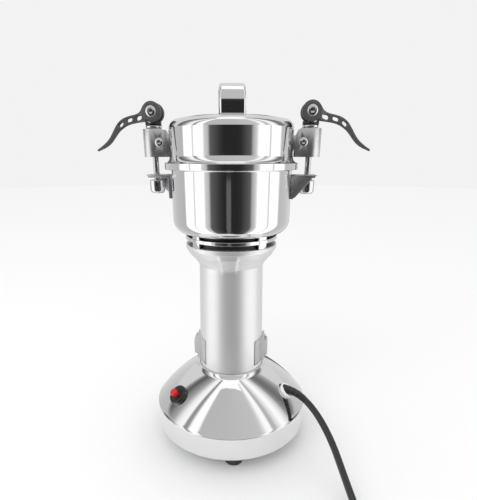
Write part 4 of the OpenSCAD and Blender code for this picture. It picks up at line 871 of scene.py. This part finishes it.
# %% Studio sky helpers
def panels(name, turns):
    """Brightness by turn from the camera's side, as a list of (degrees, level) joined by ramps."""
    ramp = room.nodes.new("ShaderNodeValToRGB")
    ramp.label = name
    stops = ramp.color_ramp.elements
    while len(stops) < len(turns):
        stops.new(0.5)
    for stop, (turn, level) in zip(stops, turns):
        stop.position = turn / 360 + 0.5
        stop.color = (level, level, level, 1)
    room.links.new(turn_share, ramp.inputs["Fac"])
    return ramp.outputs["Color"]


def rise_step(low, high):
    """Smooth step of the rise above the horizon: 0 below low, 1 above high, both in degrees."""
    step = room.nodes.new("ShaderNodeMapRange")
    step.interpolation_type = "SMOOTHSTEP"
    step.inputs["From Min"].default_value, step.inputs["From Max"].default_value = low, high
    room.links.new(rise, step.inputs["Value"])
    return step.outputs["Result"]


def near_turn(turn, half_width):
    """1 where the direction lies within half_width degrees of a turn from the camera's side."""
    away = maths(room, "ABSOLUTE", maths(room, "SUBTRACT", turn_angle, math.radians(turn)))
    return maths(room, "LESS_THAN", away, math.radians(half_width))


def blend_sky(mask, under, over):
    """Colour under where the mask is 0 and over where it is 1; over may be one grey level."""
    mix = room.nodes.new("ShaderNodeMix")
    mix.data_type = "RGBA"
    room.links.new(mask, mix.inputs["Factor"])
    room.links.new(under, mix.inputs["A"])
    if isinstance(over, (int, float)):
        mix.inputs["B"].default_value = (over, over, over, 1)
    else:
        room.links.new(over, mix.inputs["B"])
    return mix.outputs["Result"]


# %% [markdown]
# The walls give the upright bands of the bowl and the lid, and the ceiling gives the fan of light
# on the foot's cone. A bright panel hangs overhead and reaches a little towards the camera, which
# lights the lid's top and the foot's shoulder. A narrow grey strip below the horizon, on the
# camera's side, gives the paler line down the middle of the bowl's dark band.

# %% Studio sky
walls = panels("walls", [
    (-180, 0.10), (-168, 0.10), (-163, 0.80), (-122, 0.62), (-93, 0.56), (-91, 1.4), (-71, 1.4),
    (-70, 0.7), (-68, 0.7), (-67, 1.4), (-48, 1.4), (-46, 0.80), (-38, 0.60), (-34.5, 0.13),
    (-17, 0.045), (-9, 0.024), (14, 0.024), (22, 0.035), (39, 0.13), (42, 0.45), (50, 0.80),
    (54, 1.4), (75, 1.4), (76.5, 0.7), (78.5, 0.7), (80, 1.4), (101, 1.35), (106, 0.61),
    (128, 0.66), (163, 0.80), (168, 0.10), (180, 0.10)])
ceiling = panels("ceiling", [
    (-180, 0.80), (-113, 0.77), (-109, 0.25), (-104, 0.12), (-96, 0.30), (-89, 0.46),
    (-80, 1.05), (-72, 1.2), (-69, 0.36), (-64.5, 0.36), (-60, 1.25), (-49, 1.25), (-45, 0.58),
    (0, 0.60), (47, 0.65), (52, 0.75), (59, 1.2), (65, 1.2), (68, 0.55), (71.5, 0.55),
    (76, 0.88), (84, 1.25), (89, 1.1), (95, 0.75), (99, 0.33), (106, 0.18), (113, 0.24),
    (120, 0.45), (124, 0.78), (180, 0.80)])
PANEL_LEVEL, STRIP_LEVEL = 1.25, 0.14
sky = blend_sky(rise_step(8, 15), walls, ceiling)
sky = blend_sky(rise_step(74.5, 77), sky, PANEL_LEVEL)
overhead = maths(room, "LESS_THAN", maths(room, "DIVIDE", towards_camera, up), 0.25)
leaning = maths(room, "MULTIPLY", maths(room, "MULTIPLY", overhead, near_turn(0, 50)),
                rise_step(50, 55))
sky = blend_sky(leaning, sky, PANEL_LEVEL)
strip = maths(room, "MULTIPLY", near_turn(-1.0, 4.2), maths(room, "LESS_THAN", rise, -3.0))
sky = blend_sky(strip, sky, STRIP_LEVEL)
print("sky nodes", len(room.nodes))

# %% [markdown]
# Three kinds of ray ask the world for light. Mirror rays get the studio sky, camera rays see plain
# paper behind the mill, and all others get an even white, which keeps the shadows soft.

# %% Who sees the studio sky
EVEN_WHITE, PAPER_GREY = (1.0, 1.0, 1.0, 1), (0.89, 0.89, 0.89, 1)
even_light, seen_sky = room.nodes["Background"], room.nodes.new("ShaderNodeBackground")
even_light.inputs["Color"].default_value = EVEN_WHITE
room.links.new(sky, seen_sky.inputs["Color"])
paper = room.nodes.new("ShaderNodeBackground")
paper.inputs["Color"].default_value = PAPER_GREY
light_path = room.nodes.new("ShaderNodeLightPath")
mirrors = room.nodes.new("ShaderNodeMixShader")
camera_rays = room.nodes.new("ShaderNodeMixShader")
room.links.new(light_path.outputs["Is Glossy Ray"], mirrors.inputs[0])
room.links.new(even_light.outputs[0], mirrors.inputs[1])
room.links.new(seen_sky.outputs[0], mirrors.inputs[2])
room.links.new(light_path.outputs["Is Camera Ray"], camera_rays.inputs[0])
room.links.new(mirrors.outputs[0], camera_rays.inputs[1])
room.links.new(paper.outputs[0], camera_rays.inputs[2])
room.links.new(camera_rays.outputs[0], room.nodes["World Output"].inputs["Surface"])
print("world nodes", len(room.nodes))

# %% [markdown]
# The floor is a pale matt sheet. Polished steel should show it close to the foot only, because
# further out the studio's panels stand in the way, so the sheet is made as two rings.

# %% Floor
SHEET_WHITE, SHEET_ROUGH = (0.92, 0.92, 0.92, 1), 0.9
FLOOR_SPLIT, FLOOR_EDGE, FLOOR_DROP = 0.16, 4.0, 0.0002
sheet = bpy.data.materials.new("pale_sheet")
sheet.use_nodes = True
sheet_look = sheet.node_tree.nodes["Principled BSDF"]
sheet_look.inputs["Base Color"].default_value = SHEET_WHITE
sheet_look.inputs["Roughness"].default_value = SHEET_ROUGH
sheet_look.inputs["Specular IOR Level"].default_value = 0.0


def floor_ring(name, inner, outer, in_mirrors):
    """Flat ring between two radii, just under the feet; the inner radius may be zero."""
    a = np.linspace(0, 2 * np.pi, 96, endpoint=False)
    r = np.linspace(inner, outer, 4)[:, None]
    piece = grid_piece(name, np.stack([r * np.cos(a), r * np.sin(a), 0 * r * a - FLOOR_DROP], -1))
    piece.visible_glossy = in_mirrors
    piece.data.materials.append(sheet)


floor_ring("floor_near", 0.0, FLOOR_SPLIT, True)
floor_ring("floor_far", FLOOR_SPLIT, FLOOR_EDGE, False)
print("floor reaches", FLOOR_EDGE, "m")

# %% [markdown]
# One large, weak lamp from the upper left gives the column and the cord a side to the light. It
# isn't seen in mirrors, where it would add a bright square.

# %% Soft key light and colours
key_data = bpy.data.lights.new("soft_key", "AREA")
key_data.shape, key_data.size, key_data.size_y, key_data.energy = "RECTANGLE", 1.0, 0.7, 4.0
key = bpy.data.objects.new("soft_key", key_data)
key.location = (-0.5, -0.9, 1.1)
key_aim = Vector((0, 0, 0.15)) - key.location
key.rotation_euler = key_aim.to_track_quat("-Z", "Y").to_euler()
key.visible_glossy = False
bpy.context.scene.collection.objects.link(key)
bpy.context.scene.view_settings.view_transform = "Standard"
print("view transform", bpy.context.scene.view_settings.view_transform)
